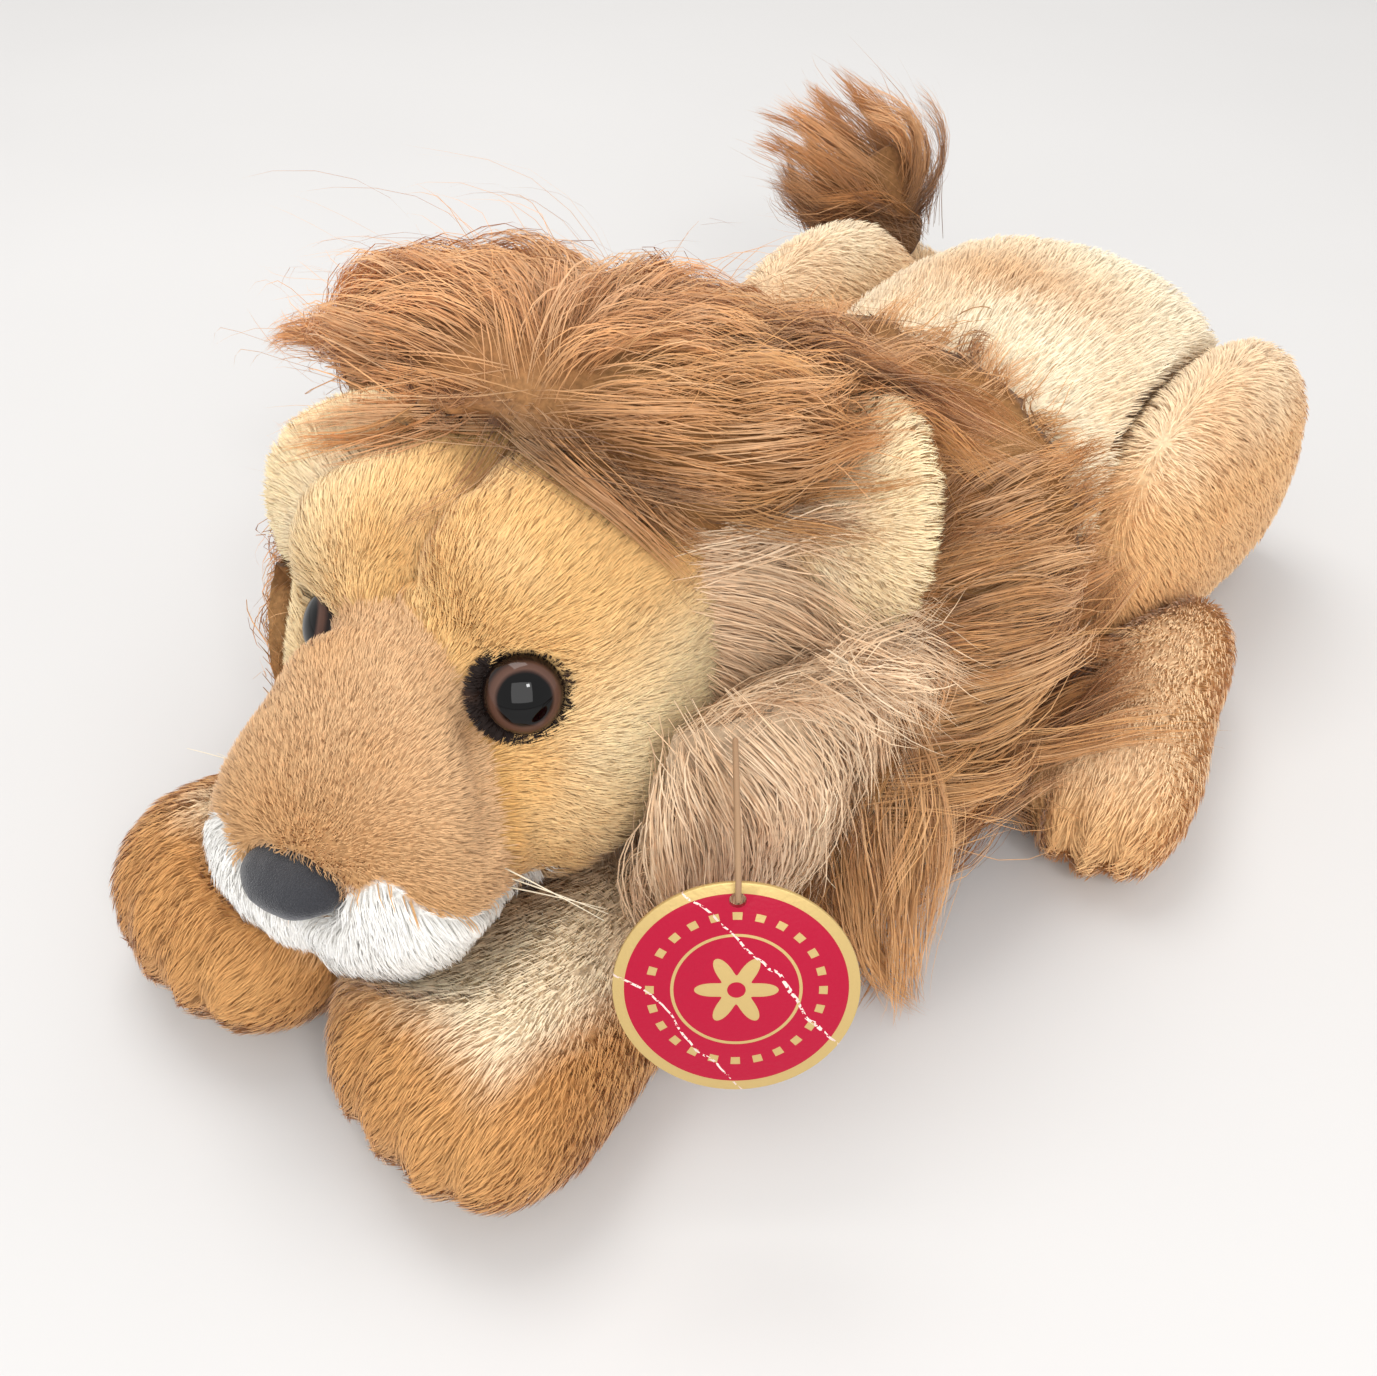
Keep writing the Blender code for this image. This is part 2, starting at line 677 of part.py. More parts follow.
# Torso
torso = object_of("torso", form_mesh(placed(0, TORSO_FRONT_Y, -REST_FLAT), TORSO_LENGTH,
                                     TORSO_WIDTH, TORSO_HEIGHT, TORSO_SHARES), CREAM_PLUSH)
torso_room = grown(torso)
stands_flat(torso)

# Head, muzzle, chin and nose
head = object_of("head", form_mesh(head_forward(HEAD_BACK, -HEAD_BASE_DROP), HEAD_LENGTH,
                                   HEAD_WIDTH, HEAD_HEIGHT, HEAD_SHARES), GOLD_PLUSH)
nose = object_of("nose", form_mesh(head_forward(-NOSE_START, NOSE_RISE), NOSE_LENGTH,
                                   NOSE_WIDTH, NOSE_HEIGHT, NOSE_SHARES,
                                   SMALL_SIDES, len(NOSE_SHARES) + 2), CHARCOAL_VELOUR)
line_frame = (HEAD_FRAME @ placed(0, -CHIN_LINE_FORWARD, CHIN_LINE_RISE)
              @ turned(-CHIN_LINE_DEG, "X"))
snout = []
for name, material, edge, operation in (("muzzle", TAN_PLUSH, GAP / 2, "INTERSECT"),
                                        ("chin", WHITE_PLUSH, -GAP / 2, "DIFFERENCE")):
    half = object_of(name, form_mesh(head_forward(-MUZZLE_START, MUZZLE_RISE), MUZZLE_LENGTH,
                                     MUZZLE_WIDTH, MUZZLE_HEIGHT, MUZZLE_SHARES), material)
    cut(half, half_space("LineCutter" + name, line_frame @ placed(0, 0, edge)), operation)
    cut(half, grown(head))
    cut(half, grown(nose))
    snout.append(half)
muzzle, chin = snout

# Eyes
EYE_SEAT = LINER_PROUD + GAP
eyes = {}
for word, sign in (("left", 1), ("right", -1)):
    eye_frame = (HEAD_FRAME @ placed(sign * EYE_SPREAD, -EYE_FORWARD, EYE_RISE)
                 @ turned(sign * EYE_OUT_DEG, "Z") @ turned(90 - EYE_UP_DEG, "X"))
    liner = object_of("eye_liner_" + word, disc_mesh(
        eye_frame, LINER_HALF_WIDTH, LINER_HALF_HEIGHT, LINER_PROUD - LINER_THICK, LINER_PROUD,
        2 * SMALL_SIDES), LINER_PLUSH, False)
    base = object_of("eye_base_" + word, disc_mesh(
        eye_frame, EYE_RADIUS, EYE_RADIUS, EYE_SEAT, EYE_SEAT + EYE_BASE_THICK,
        2 * SMALL_SIDES), BROWN_PLASTIC, False)
    shank = hide(object_of("Shank" + word, disc_mesh(
        eye_frame, SHANK_RADIUS, SHANK_RADIUS, -SHANK_LENGTH, EYE_SEAT + EYE_BASE_THICK / 2)))
    cut(base, shank, "UNION")
    bore = hide(object_of("ShankBore" + word, disc_mesh(
        eye_frame, SHANK_RADIUS + GAP, SHANK_RADIUS + GAP, -SHANK_LENGTH - GAP, OVERRUN)))
    cut(liner, bore)
    dome = []
    low = EYE_SEAT + EYE_BASE_THICK + GAP
    for step in range(EYE_DOME_RINGS):
        angle = step / EYE_DOME_RINGS * math.pi / 2
        radius = EYE_RADIUS * math.cos(angle)
        height = low + EYE_DOME_HEIGHT * math.sin(angle)
        dome.append([Vector((radius * math.cos(math.pi * i / SMALL_SIDES),
                             radius * math.sin(math.pi * i / SMALL_SIDES), height))
                     for i in range(2 * SMALL_SIDES)])
    lens_mesh = bmesh.new()
    loops = [[lens_mesh.verts.new(point) for point in ring] for ring in dome]
    for first, second in zip(loops, loops[1:]):
        for i in range(len(first)):
            j = (i + 1) % len(first)
            lens_mesh.faces.new((first[i], first[j], second[j], second[i]))
    lens_mesh.faces.new(loops[0])
    top = lens_mesh.verts.new((0, 0, low + EYE_DOME_HEIGHT))
    for i in range(len(loops[-1])):
        lens_mesh.faces.new((loops[-1][i], loops[-1][(i + 1) % len(loops[-1])], top))
    lens_mesh.transform(eye_frame)
    lens = object_of("eye_lens_" + word, lens_mesh, CLEAR_PLASTIC)
    washer = object_of("eye_washer_" + word, disc_mesh(
        eye_frame, WASHER_RADIUS, WASHER_RADIUS, -WASHER_DEPTH - WASHER_THICK, -WASHER_DEPTH),
        NATURAL_PLASTIC, False)
    cut(washer, bore)
    pocket = hide(object_of("WasherPocket" + word, disc_mesh(
        eye_frame, WASHER_RADIUS + GAP, WASHER_RADIUS + GAP,
        -WASHER_DEPTH - WASHER_THICK - GAP, -WASHER_DEPTH + GAP)))
    socket = hide(object_of("EyeSocket" + word, disc_mesh(
        eye_frame, LINER_HALF_WIDTH + GAP, LINER_HALF_HEIGHT + GAP,
        LINER_PROUD - LINER_THICK - GAP, OVERRUN / 2, 2 * SMALL_SIDES)))
    eyes[word] = (bore, pocket, socket)
    for cutter in eyes[word]:
        cut(head, cutter)
    cut(muzzle, socket)

# Ears
ears = {}
for word, sign, spread, forward, rise, base_shares, flap_shares, flex_degs in (
        ("left", 1, EAR_LEFT_SPREAD, EAR_LEFT_FORWARD, EAR_LEFT_RISE,
         EAR_LEFT_BASE_SHARES, EAR_LEFT_FLAP_SHARES, EAR_LEFT_FLEX_DEGS),
        ("right", -1, EAR_RIGHT_SPREAD, EAR_RIGHT_FORWARD, EAR_RIGHT_RISE,
         EAR_RIGHT_BASE_SHARES, EAR_RIGHT_FLAP_SHARES, EAR_RIGHT_FLEX_DEGS)):
    outward, ahead, above = base_shares
    base_line = Vector((sign * outward, -ahead, above)).normalized()
    outward, ahead, above = flap_shares
    flap = Vector((sign * outward, -ahead, above))
    flap = (flap - base_line * flap.dot(base_line)).normalized()
    face = base_line.cross(flap) * -sign
    across = flap.cross(face)
    ear_frame = Matrix((across, flap, face)).transposed().to_4x4()
    ear_frame.translation = Vector((sign * spread, -forward, rise))
    ear_frame = HEAD_FRAME @ ear_frame
    ear = object_of("ear_" + word, form_mesh(ear_frame, EAR_LENGTH, EAR_WIDTH, EAR_THICK,
                                             EAR_SHARES, FORM_SIDES, FORM_RINGS - 4, EAR_CUP),
                    GOLD_PLUSH)
    cut(ear, grown(head))
    hinge = (ear_frame.to_3x3() @ Vector((1, 0, 0))).normalized()
    ears[word] = (ear, ear_frame.translation.copy(), hinge, flex_degs)

# Mane on the crown
crown = object_of("mane_crown", form_mesh(head_forward(CROWN_BACK, CROWN_RISE), CROWN_LENGTH,
                                          CROWN_WIDTH, CROWN_HEIGHT, CROWN_SHARES), BROWN_HAIR)
cut(crown, head_space("HeadSpace", 0.0), "INTERSECT")
cut(crown, grown(head))
ear_sweeps = []
for ear, point, axis, flex_degs in ears.values():
    ear_sweep = swept([ear], point, axis, *flex_degs)
    cut(crown, ear_sweep)
    ear_sweeps.append(swept([ear_sweep], HEAD_FRAME.translation, Vector((0, 0, 1)),
                            -HEAD_YAW_DEG, HEAD_YAW_DEG, 0.0))

# Forelegs, dented where the chin lies on them
head_sweep = swept([muzzle, chin, head], HEAD_FRAME.translation, Vector((0, 0, 1)),
                   -HEAD_YAW_DEG, HEAD_YAW_DEG)
forelegs = {}
for word, sign, x, y, out_deg in (
        ("left", 1, FORELEG_LEFT_X, FORELEG_LEFT_Y, FORELEG_LEFT_DEG),
        ("right", -1, FORELEG_RIGHT_X, FORELEG_RIGHT_Y, FORELEG_RIGHT_DEG)):
    leg_frame = placed(x, y, -REST_FLAT) @ turned(180 + out_deg, "Z")
    foreleg = object_of("foreleg_" + word, form_mesh(leg_frame, FORELEG_LENGTH, FORELEG_WIDTH,
                                                     FORELEG_HEIGHT, FORELEG_SHARES), PAW_PLUSH)
    stands_flat(foreleg)
    shoulder = leg_frame @ Vector((0, SHOULDER_SEAT, 0))
    cut(foreleg, swept([head_sweep], shoulder, Vector((0, 0, 1)), 0.0, -sign * FORELEG_OUT_DEG, 0.0))
    forelegs[word] = (foreleg, shoulder)

# Hind legs
hind_legs = {}
for word, sign, x, rear, lean_deg in (
        ("left", 1, THIGH_LEFT_X, THIGH_LEFT_REAR_Y, THIGH_LEFT_LEAN_DEG),
        ("right", -1, THIGH_RIGHT_X, THIGH_RIGHT_REAR_Y, THIGH_RIGHT_LEAN_DEG)):
    thigh_frame = placed(x, rear, -REST_FLAT) @ turned(lean_deg, "Y") @ turned(180, "Z")
    thigh = object_of("thigh_" + word, form_mesh(thigh_frame, THIGH_LENGTH, THIGH_WIDTH,
                                                 THIGH_HEIGHT, THIGH_SHARES), CREAM_PLUSH)
    stands_flat(thigh)
    foot_frame = (placed(sign * FOOT_HEEL_X, FOOT_HEEL_Y, -REST_FLAT)
                  @ turned(180 + sign * FOOT_OUT_DEG, "Z"))
    foot = object_of("hind_foot_" + word, form_mesh(foot_frame, FOOT_LENGTH, FOOT_WIDTH,
                                                    FOOT_HEIGHT, FOOT_SHARES), PAW_PLUSH)
    stands_flat(foot)
    cut(foot, grown(thigh))
    hip = Vector((x, HIP_Y, 0))
    hind_legs[word] = (thigh, foot, hip)

# Ruffs behind the cheeks
ruffs = []
for word, sign, inward in (("left", 1, 0.0), ("right", -1, RUFF_RIGHT_INWARD)):
    ruff_foot = Vector((sign * (RUFF_FOOT_SPREAD - inward), -RUFF_FOOT_FORWARD, RUFF_FOOT_RISE))
    ruff_top = Vector((sign * (RUFF_TOP_SPREAD - inward), -RUFF_TOP_FORWARD, RUFF_TOP_RISE))
    upward = (ruff_top - ruff_foot).normalized()
    outward = Vector((sign, 0, 0))
    outward = (outward - upward * outward.dot(upward)).normalized()
    ruff_frame = Matrix((upward.cross(outward), upward, outward)).transposed().to_4x4()
    ruff_frame.translation = ruff_foot
    ruffs.append(object_of("cheek_ruff_" + word, form_mesh(
        HEAD_FRAME @ ruff_frame, (ruff_top - ruff_foot).length, RUFF_WIDTH, RUFF_THICK,
        RUFF_SHARES, FORM_SIDES, FORM_RINGS - 2), TAUPE_HAIR))
ruff_rooms = [grown(ruff) for ruff in ruffs]

# Mane round the neck and under the chin, clear of all that turns
space = head_space("HeadSpaceCutter", GAP)
collar = object_of("mane_collar", form_mesh(placed(COLLAR_X, COLLAR_FRONT_Y, COLLAR_Z),
                                            COLLAR_LENGTH, COLLAR_WIDTH, COLLAR_HEIGHT,
                                            COLLAR_SHARES), BROWN_HAIR)
collar_room = grown(collar)
chest = object_of("mane_chest", form_mesh(placed(CHEST_X, CHEST_BACK_Y, CHEST_Z)
                                          @ turned(180, "Z"), CHEST_LENGTH, CHEST_WIDTH,
                                          CHEST_HEIGHT, CHEST_SHARES), BROWN_HAIR)
standing = [torso, collar, chest] + ruffs
for room in ruff_rooms:
    cut(collar, room)
    cut(chest, room)
for word, (foreleg, shoulder) in forelegs.items():
    sign = 1 if word == "left" else -1
    sweep = swept([foreleg], shoulder, Vector((0, 0, 1)), 0.0, sign * FORELEG_OUT_DEG)
    for piece in standing:
        cut(piece, sweep)
for word, (thigh, foot, hip) in hind_legs.items():
    sign = 1 if word == "left" else -1
    for part_of_leg in (thigh, foot):
        sweep = swept([part_of_leg], hip, Vector((0, 0, 1)), 0.0, sign * HIND_OUT_DEG)
        for piece in (torso, collar):
            cut(piece, sweep)
for piece in standing:
    cut(piece, space)
cut(torso, head_sweep)
for piece in standing[1:]:
    for sweep in [head_sweep] + ear_sweeps:
        cut(piece, sweep)
    cut(piece, torso_room)
cut(chest, collar_room)

# Tail
root = Vector((TAIL_ROOT_X, TAIL_ROOT_Y, TAIL_ROOT_Z))
tip = Vector((TAIL_TIP_X, TAIL_TIP_Y, TAIL_TIP_Z))
path = bezier(root, root + Vector((0, TAIL_REACH, 0)), tip + Vector((0, TAIL_DIP, -TAIL_DIP)),
              tip, TAIL_POINTS)
tail = object_of("tail_stalk", tube_mesh(path, TAIL_RADIUS, SMALL_SIDES), CREAM_PLUSH)
tuft_frame = (placed(*tip) @ turned(TUFT_LEAN_DEG, "Y") @ turned(90, "X")
              @ placed(0, -TUFT_SEAT, 0))
tuft = object_of("tail_tuft", form_mesh(tuft_frame, TUFT_LENGTH, TUFT_WIDTH, TUFT_WIDTH,
                                        TUFT_SHARES, FORM_SIDES - 4, FORM_RINGS - 4), DARK_HAIR)
right_thigh, right_foot, right_hip = hind_legs["right"]
thigh_sweep = swept([right_thigh], right_hip, Vector((0, 0, 1)), 0.0, -HIND_OUT_DEG)
cut(tail, thigh_sweep)
cut(tuft, thigh_sweep)
cut(tuft, grown(tail))
cut(torso, swept([tail], root, Vector((0, 0, 1)), 0.0, -TAIL_SWING_DEG))

# Hang tag and its string
tag_frame = (placed(TAG_X, TAG_Y, TAG_Z) @ turned(TAG_FACE_DEG, "Z")
             @ turned(90 - TAG_LEAN_DEG, "X"))
tag = object_of("hang_tag", disc_mesh(tag_frame, TAG_RADIUS, TAG_RADIUS, -TAG_THICK / 2,
                                      TAG_THICK / 2, TAG_SIDES), CRIMSON_CARD, False)
hole_up = TAG_RADIUS - TAG_HOLE_EDGE
hole = hide(object_of("TagHole", disc_mesh(tag_frame @ placed(0, hole_up, 0), TAG_HOLE_RADIUS,
                                           TAG_HOLE_RADIUS, -OVERRUN, OVERRUN)))
cut(tag, hole)
string_frame = tag_frame @ placed(0, hole_up, 0)
loop = []
for step in range(STRING_POINTS):
    angle = 2 * math.pi * step / STRING_POINTS
    up_share = (1 - math.cos(angle)) / 2
    loop.append(string_frame @ Vector((0, STRING_REACH * up_share, STRING_SPREAD * math.sin(angle)
                                       - STRING_BEND * up_share ** 2)))
string = object_of("tag_string", ring_tube(loop, string_frame.to_3x3() @ Vector((1, 0, 0)),
                                           STRING_RADIUS, STRING_SIDES), STRING_FINISH)
string_root = string_frame @ Vector((0, STRING_REACH, -STRING_BEND))
string_axis = (tag_frame.to_3x3() @ Vector((0, 0, 1))).normalized()
cut(ruffs[0], swept([string], string_root, string_axis, -TAG_SWING_DEG, TAG_SWING_DEG))
cut(collar, swept([string], string_root, string_axis, -TAG_SWING_DEG, TAG_SWING_DEG))

# Whiskers: threads that a short bar joins inside the muzzle
whiskers = []
for word, sign in (("left", 1), ("right", -1)):
    bar_foot = Vector((sign * WHISKER_SPREAD, -WHISKER_FORWARD,
                       WHISKER_RISE - WHISKER_STEP * (WHISKER_COUNT - 0.5)))
    bar_top = Vector((sign * WHISKER_SPREAD, -WHISKER_FORWARD, WHISKER_RISE + WHISKER_STEP / 2))
    bar = tube_mesh([bar_foot, (bar_foot + bar_top) / 2, bar_top], WHISKER_BAR_RADIUS, WHISKER_SIDES)
    bar.transform(HEAD_FRAME)
    whisker = object_of("whiskers_" + word, bar, CLEAR_NYLON)
    for index in range(WHISKER_COUNT):
        start = Vector((sign * WHISKER_SPREAD, -WHISKER_FORWARD, WHISKER_RISE - index * WHISKER_STEP))
        fan = math.radians(WHISKER_BACK_DEG + WHISKER_FAN_DEG * (index - (WHISKER_COUNT - 1) / 2))
        out = Vector((sign * math.cos(fan), math.sin(fan), 0)) * WHISKER_LENGTH
        thread = tube_mesh(bezier(start, start + out / 3, start + out * 2 / 3,
                                  start + out - Vector((0, 0, WHISKER_DROOP)), WHISKER_POINTS),
                           WHISKER_RADIUS, WHISKER_SIDES)
        thread.transform(HEAD_FRAME)
        cut(whisker, hide(object_of("Thread" + word + str(index), thread)), "UNION")
    whiskers.append(whisker)
    for piece in (muzzle, chin):
        cut(piece, grown(whisker))
    threads = swept([whisker], HEAD_FRAME.translation, Vector((0, 0, 1)), -HEAD_YAW_DEG, HEAD_YAW_DEG)
    for ruff in ruffs:
        cut(ruff, threads)
    foreleg, shoulder = forelegs[word]
    cut(foreleg, swept([threads], shoulder, Vector((0, 0, 1)), 0.0, -sign * FORELEG_OUT_DEG, 0.0))


def seat(name: str, pieces: list, point: Vector) -> bpy.types.Object:
    """Ties moving pieces to an empty that stands on their joint's axis."""
    empty = bpy.data.objects.new(name, None)
    empty.location = point
    bpy.context.scene.collection.objects.link(empty)
    for piece in pieces:
        piece.parent = empty
        piece.matrix_parent_inverse = Matrix.Translation(-Vector(point))
    return empty


# Joints
head_pieces = [head, muzzle, chin, nose, crown] + whiskers
head_pieces += [obj for obj in bpy.data.objects if obj.name.startswith("eye_")]
head_joint = seat("JointHead", head_pieces, HEAD_FRAME.translation)
for word, (ear, point, axis, flex_degs) in ears.items():
    ear_joint = seat("JointEar" + word, [ear], point)
    ear_joint.parent = head_joint
    ear_joint.matrix_parent_inverse = Matrix.Translation(-HEAD_FRAME.translation)
for word, (foreleg, shoulder) in forelegs.items():
    seat("JointShoulder" + word, [foreleg], shoulder)
for word, (thigh, foot, hip) in hind_legs.items():
    seat("JointHip" + word, [thigh, foot], hip)
seat("JointTail", [tail, tuft], root)
seat("JointTag", [tag, string], string_root)
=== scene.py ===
"""A plush lion that lies on its belly: skins, pile, long mane, eyes, nose, tag and studio."""
import logging
import math
from dataclasses import dataclass, field
from enum import Enum
from functools import partial
from typing import Callable, Optional

import bpy
import numpy as np
from mathutils import Matrix, Vector
from mathutils.bvhtree import BVHTree


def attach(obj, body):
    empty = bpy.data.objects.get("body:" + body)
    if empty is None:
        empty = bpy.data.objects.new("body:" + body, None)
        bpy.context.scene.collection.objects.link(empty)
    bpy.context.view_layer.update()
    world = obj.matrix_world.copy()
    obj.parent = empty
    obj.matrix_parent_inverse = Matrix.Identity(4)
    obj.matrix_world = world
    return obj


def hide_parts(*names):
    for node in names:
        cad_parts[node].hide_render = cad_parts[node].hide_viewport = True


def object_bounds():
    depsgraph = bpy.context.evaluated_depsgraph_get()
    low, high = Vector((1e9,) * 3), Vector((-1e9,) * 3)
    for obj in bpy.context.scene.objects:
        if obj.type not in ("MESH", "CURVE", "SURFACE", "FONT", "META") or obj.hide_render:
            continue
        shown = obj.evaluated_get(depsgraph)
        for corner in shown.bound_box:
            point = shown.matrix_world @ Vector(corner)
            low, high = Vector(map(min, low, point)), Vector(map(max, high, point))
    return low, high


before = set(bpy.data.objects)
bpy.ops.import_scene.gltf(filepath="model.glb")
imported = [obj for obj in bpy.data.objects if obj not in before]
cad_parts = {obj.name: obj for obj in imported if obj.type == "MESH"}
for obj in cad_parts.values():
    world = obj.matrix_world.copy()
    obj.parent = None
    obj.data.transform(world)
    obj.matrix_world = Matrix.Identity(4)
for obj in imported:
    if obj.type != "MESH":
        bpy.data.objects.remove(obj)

LOG = logging.getLogger("lion")
CAD_BOX = [list(corner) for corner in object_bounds()]
Array = np.ndarray
Rows = Callable[[Array], Array]
Socket = bpy.types.NodeSocket
UP = np.array((0.0, 0.0, 1.0))
# The least height of cloth, short hair, long hair and the middles of locks
FLOOR_GAP, PILE_GAP, HAIR_GAP, LOCK_GAP = 0.0006, 0.0003, 0.0004, 0.0008
# How deep in the cloth short and long hair begins
PILE_ROOT, HAIR_ROOT = 0.0005, 0.001
# The share of long hairs that stray, and how far their ends do
WILD_SHARE, WILD_REACH = 0.05, 0.004
# How far long hair may leave the box of the solids
HAIR_ROOM = np.array((0.013, 0.017, 0.011))
# The middle of the left eye: left, forward and up of the neck
EYE_AT = (0.026, 0.060, 0.016)


class Side(Enum):
    """The lion's own left and right, with the sign of its X."""

    LEFT = 1
    RIGHT = -1

    @property
    def word(self) -> str:
        """The side's name as it stands in the names of pieces."""
        return self.name.lower()


def srgb(red: float, green: float, blue: float) -> Array:
    """Turns a screen colour of 0 to 255 into a linear one.

    Args:
        red: The red part.
        green: The green part.
        blue: The blue part.

    Returns:
        The three linear parts.
    """
    part = np.array((red, green, blue)) / 255
    return np.where(part <= 0.04045, part / 12.92, ((part + 0.055) / 1.055) ** 2.4)
# Colours

FACE_GOLD, FACE_PALE, FACE_JAW = srgb(242, 196, 130), srgb(255, 230, 184), srgb(232, 192, 128)
FACE_SEAM, EYE_RING, EYE_CORNER = srgb(222, 168, 92), srgb(40, 26, 20), srgb(180, 124, 72)
TAN_LIGHT, TAN_DEEP, TAN_FLECK = srgb(228, 186, 140), srgb(216, 168, 116), srgb(220, 168, 112)
LIP_WHITE = srgb(255, 253, 248)
EAR_CREAM, EAR_EDGE, EAR_FOLD = srgb(255, 230, 188), srgb(246, 204, 146), srgb(255, 238, 210)
SIDE_GOLD, BACK_CREAM = srgb(250, 212, 164), srgb(255, 238, 208)
BACK_FLECK, BACK_NAP_SHADE = srgb(246, 204, 152), srgb(222, 172, 118)
PAW_LIGHT, PAW_DEEP, PAW_RIM_LIGHT = srgb(220, 166, 104), srgb(204, 146, 86), srgb(244, 214, 172)
TOE_CREASE_SHADE, LEG_INNER_LIT = srgb(170, 116, 68), srgb(255, 236, 204)
THIGH_GOLD, THIGH_CREST, THIGH_FLECK = srgb(248, 198, 140), srgb(254, 232, 198), srgb(240, 182, 120)
FOOT_LIGHT, FOOT_DEEP, FOOT_TOP = srgb(250, 202, 144), srgb(236, 184, 124), srgb(248, 222, 186)
TUFT_DARK, TUFT_BROWN, TUFT_FLECK = srgb(130, 86, 54), srgb(206, 150, 98), srgb(226, 176, 124)
MANE_BROWN, MANE_LIGHT, PALE_HAIR = srgb(212, 150, 96), srgb(238, 184, 126), srgb(232, 190, 146)
MANE_DARK, MANE_RIM = srgb(150, 100, 62), srgb(112, 74, 46)
TAUPE, TAUPE_LIGHT, TAUPE_DARK = srgb(232, 200, 164), srgb(248, 224, 192), srgb(196, 156, 118)
LINER_DARK, LINER_LIGHT = srgb(36, 24, 20), srgb(70, 48, 36)
NOSE_LOW, NOSE_TOP, NOSTRIL_SHADE = srgb(92, 95, 102), srgb(52, 53, 58), srgb(8, 8, 10)
TAG_CRIMSON, TAG_GOLD, TAG_WORN = srgb(172, 2, 48), srgb(206, 178, 118), srgb(236, 214, 206)
# Along the radius of an eye's dome: pupil, iris and rim
EYE_STOPS = tuple((place, srgb(*tone)) for place, tone in (
    (0.0, (0, 0, 1)), (0.64, (1, 1, 2)), (0.67, (40, 26, 22)), (0.74, (92, 66, 56)),
    (0.84, (84, 58, 48)), (0.92, (30, 18, 15)), (1.0, (20, 12, 10))))


# Arithmetic on rows of numbers
def unit(rows: Array) -> Array:
    """Each row with length one."""
    return rows / np.maximum(np.linalg.norm(rows, axis=-1, keepdims=True), 1e-9)


def mixed(low: Array, high: Array, share: Array) -> Array:
    """Colours between two, row by row."""
    return low + (high - low) * np.clip(share, 0, 1)[:, None]


def bell(points: Array, centre: tuple, radius: float) -> Array:
    """How near each point is to a centre, from 1 there to 0 far off."""
    return np.exp(-((points - np.array(centre)) ** 2).sum(1) / (2 * radius ** 2))


def smooth(value: Array, low: float, high: float) -> Array:
    """A soft step from 0 at low to 1 at high."""
    share = np.clip((value - low) / (high - low), 0, 1)
    return share * share * (3 - 2 * share)


def toward(*way: float) -> Rows:
    """The same direction at every place."""
    return lambda points: points * 0 + way


def away(centre: Array, points: Array) -> Array:
    """The directions away from a centre."""
    return points - centre


def noise(points: Array, cell: float, seed: int = 0) -> Array:
    """Smooth noise of -1 to 1 with bumps as wide as a cell.

    Args:
        points: Places in metres.
        cell: The width of a bump.
        seed: Picks one pattern of many.

    Returns:
        One value for each place.
    """
    grid = points / cell + seed * 17.31
    low = np.floor(grid).astype(np.int64)
    share = grid - low
    share = share * share * (3 - 2 * share)
    total = np.zeros(len(points))
    for corner in range(8):
        step = np.array(((corner >> 2) & 1, (corner >> 1) & 1, corner & 1))
        at = low + step
        code = (at[:, 0] * 73856093) ^ (at[:, 1] * 19349663) ^ (at[:, 2] * 83492791)
        code = (code ^ (code >> 13)) * 1274126177
        value = ((code ^ (code >> 16)) & 0xFFFF) / 65535.0
        total += value * np.where(step, share, 1 - share).prod(1)
    return total * 2 - 1


@dataclass(frozen=True)
class HeadFrame:
    """The head's own frame: left, forward and up from the neck."""

    neck: tuple = (-0.023, -0.047, 0.068)
    turn_deg: float = 12.0
    tilt_deg: float = 4.0

    @property
    def matrix(self) -> Matrix:
        """From the head's frame to the floor's."""
        return (Matrix.Translation(self.neck)
                @ Matrix.Rotation(math.radians(self.turn_deg), 4, "Z")
                @ Matrix.Rotation(math.radians(-self.tilt_deg), 4, "Y"))

    def inside(self, points: Array) -> Array:
        """Places as left, forward and up of the neck."""
        back = np.array(self.matrix.inverted())
        local = points @ back[:3, :3].T + back[:3, 3]
        return local * (1, -1, 1)

    def outside(self, left: float, forward: float, up: float) -> Array:
        """A place of the head in the floor's frame."""
        return np.array(self.matrix @ Vector((left, -forward, up)))

    def along(self, rows: Array) -> Array:
        """Directions of left, forward and up turned into the floor's frame."""
        return (rows * (1, -1, 1)) @ np.array(self.matrix.to_3x3()).T


HEAD = HeadFrame()


# Working on meshes

def alone(obj: bpy.types.Object) -> bpy.types.Object:
    """Selects one object and nothing else."""
    bpy.ops.object.select_all(action="DESELECT")
    obj.select_set(True)
    bpy.context.view_layer.objects.active = obj
    return obj


def applied(obj: bpy.types.Object, kind: str, **settings: object) -> bpy.types.Object:
    """Adds a modifier and applies it.

    Args:
        obj: The piece.
        kind: The modifier's type.
        settings: Its settings by name.

    Returns:
        The same piece.
    """
    alone(obj)
    modifier = obj.modifiers.new(kind.title(), kind)
    for key, value in settings.items():
        setattr(modifier, key, value)
    bpy.ops.object.modifier_apply(modifier=modifier.name)
    return obj


def edited(obj: bpy.types.Object, *steps: Callable[[], object]) -> bpy.types.Object:
    """Runs edit-mode steps on all of a piece."""
    alone(obj)
    bpy.ops.object.mode_set(mode="EDIT")
    bpy.ops.mesh.select_all(action="SELECT")
    for step in steps:
        step()
    bpy.ops.object.mode_set(mode="OBJECT")
    return obj


def settled(obj: bpy.types.Object, material: bpy.types.Material) -> bpy.types.Object:
    """Puts a piece's place into its mesh, shades it smooth and gives it its material."""
    alone(obj)
    bpy.ops.object.transform_apply(location=True, rotation=True, scale=True)
    bpy.ops.object.shade_smooth()
    obj.data.materials.clear()
    obj.data.materials.append(material)
    return obj


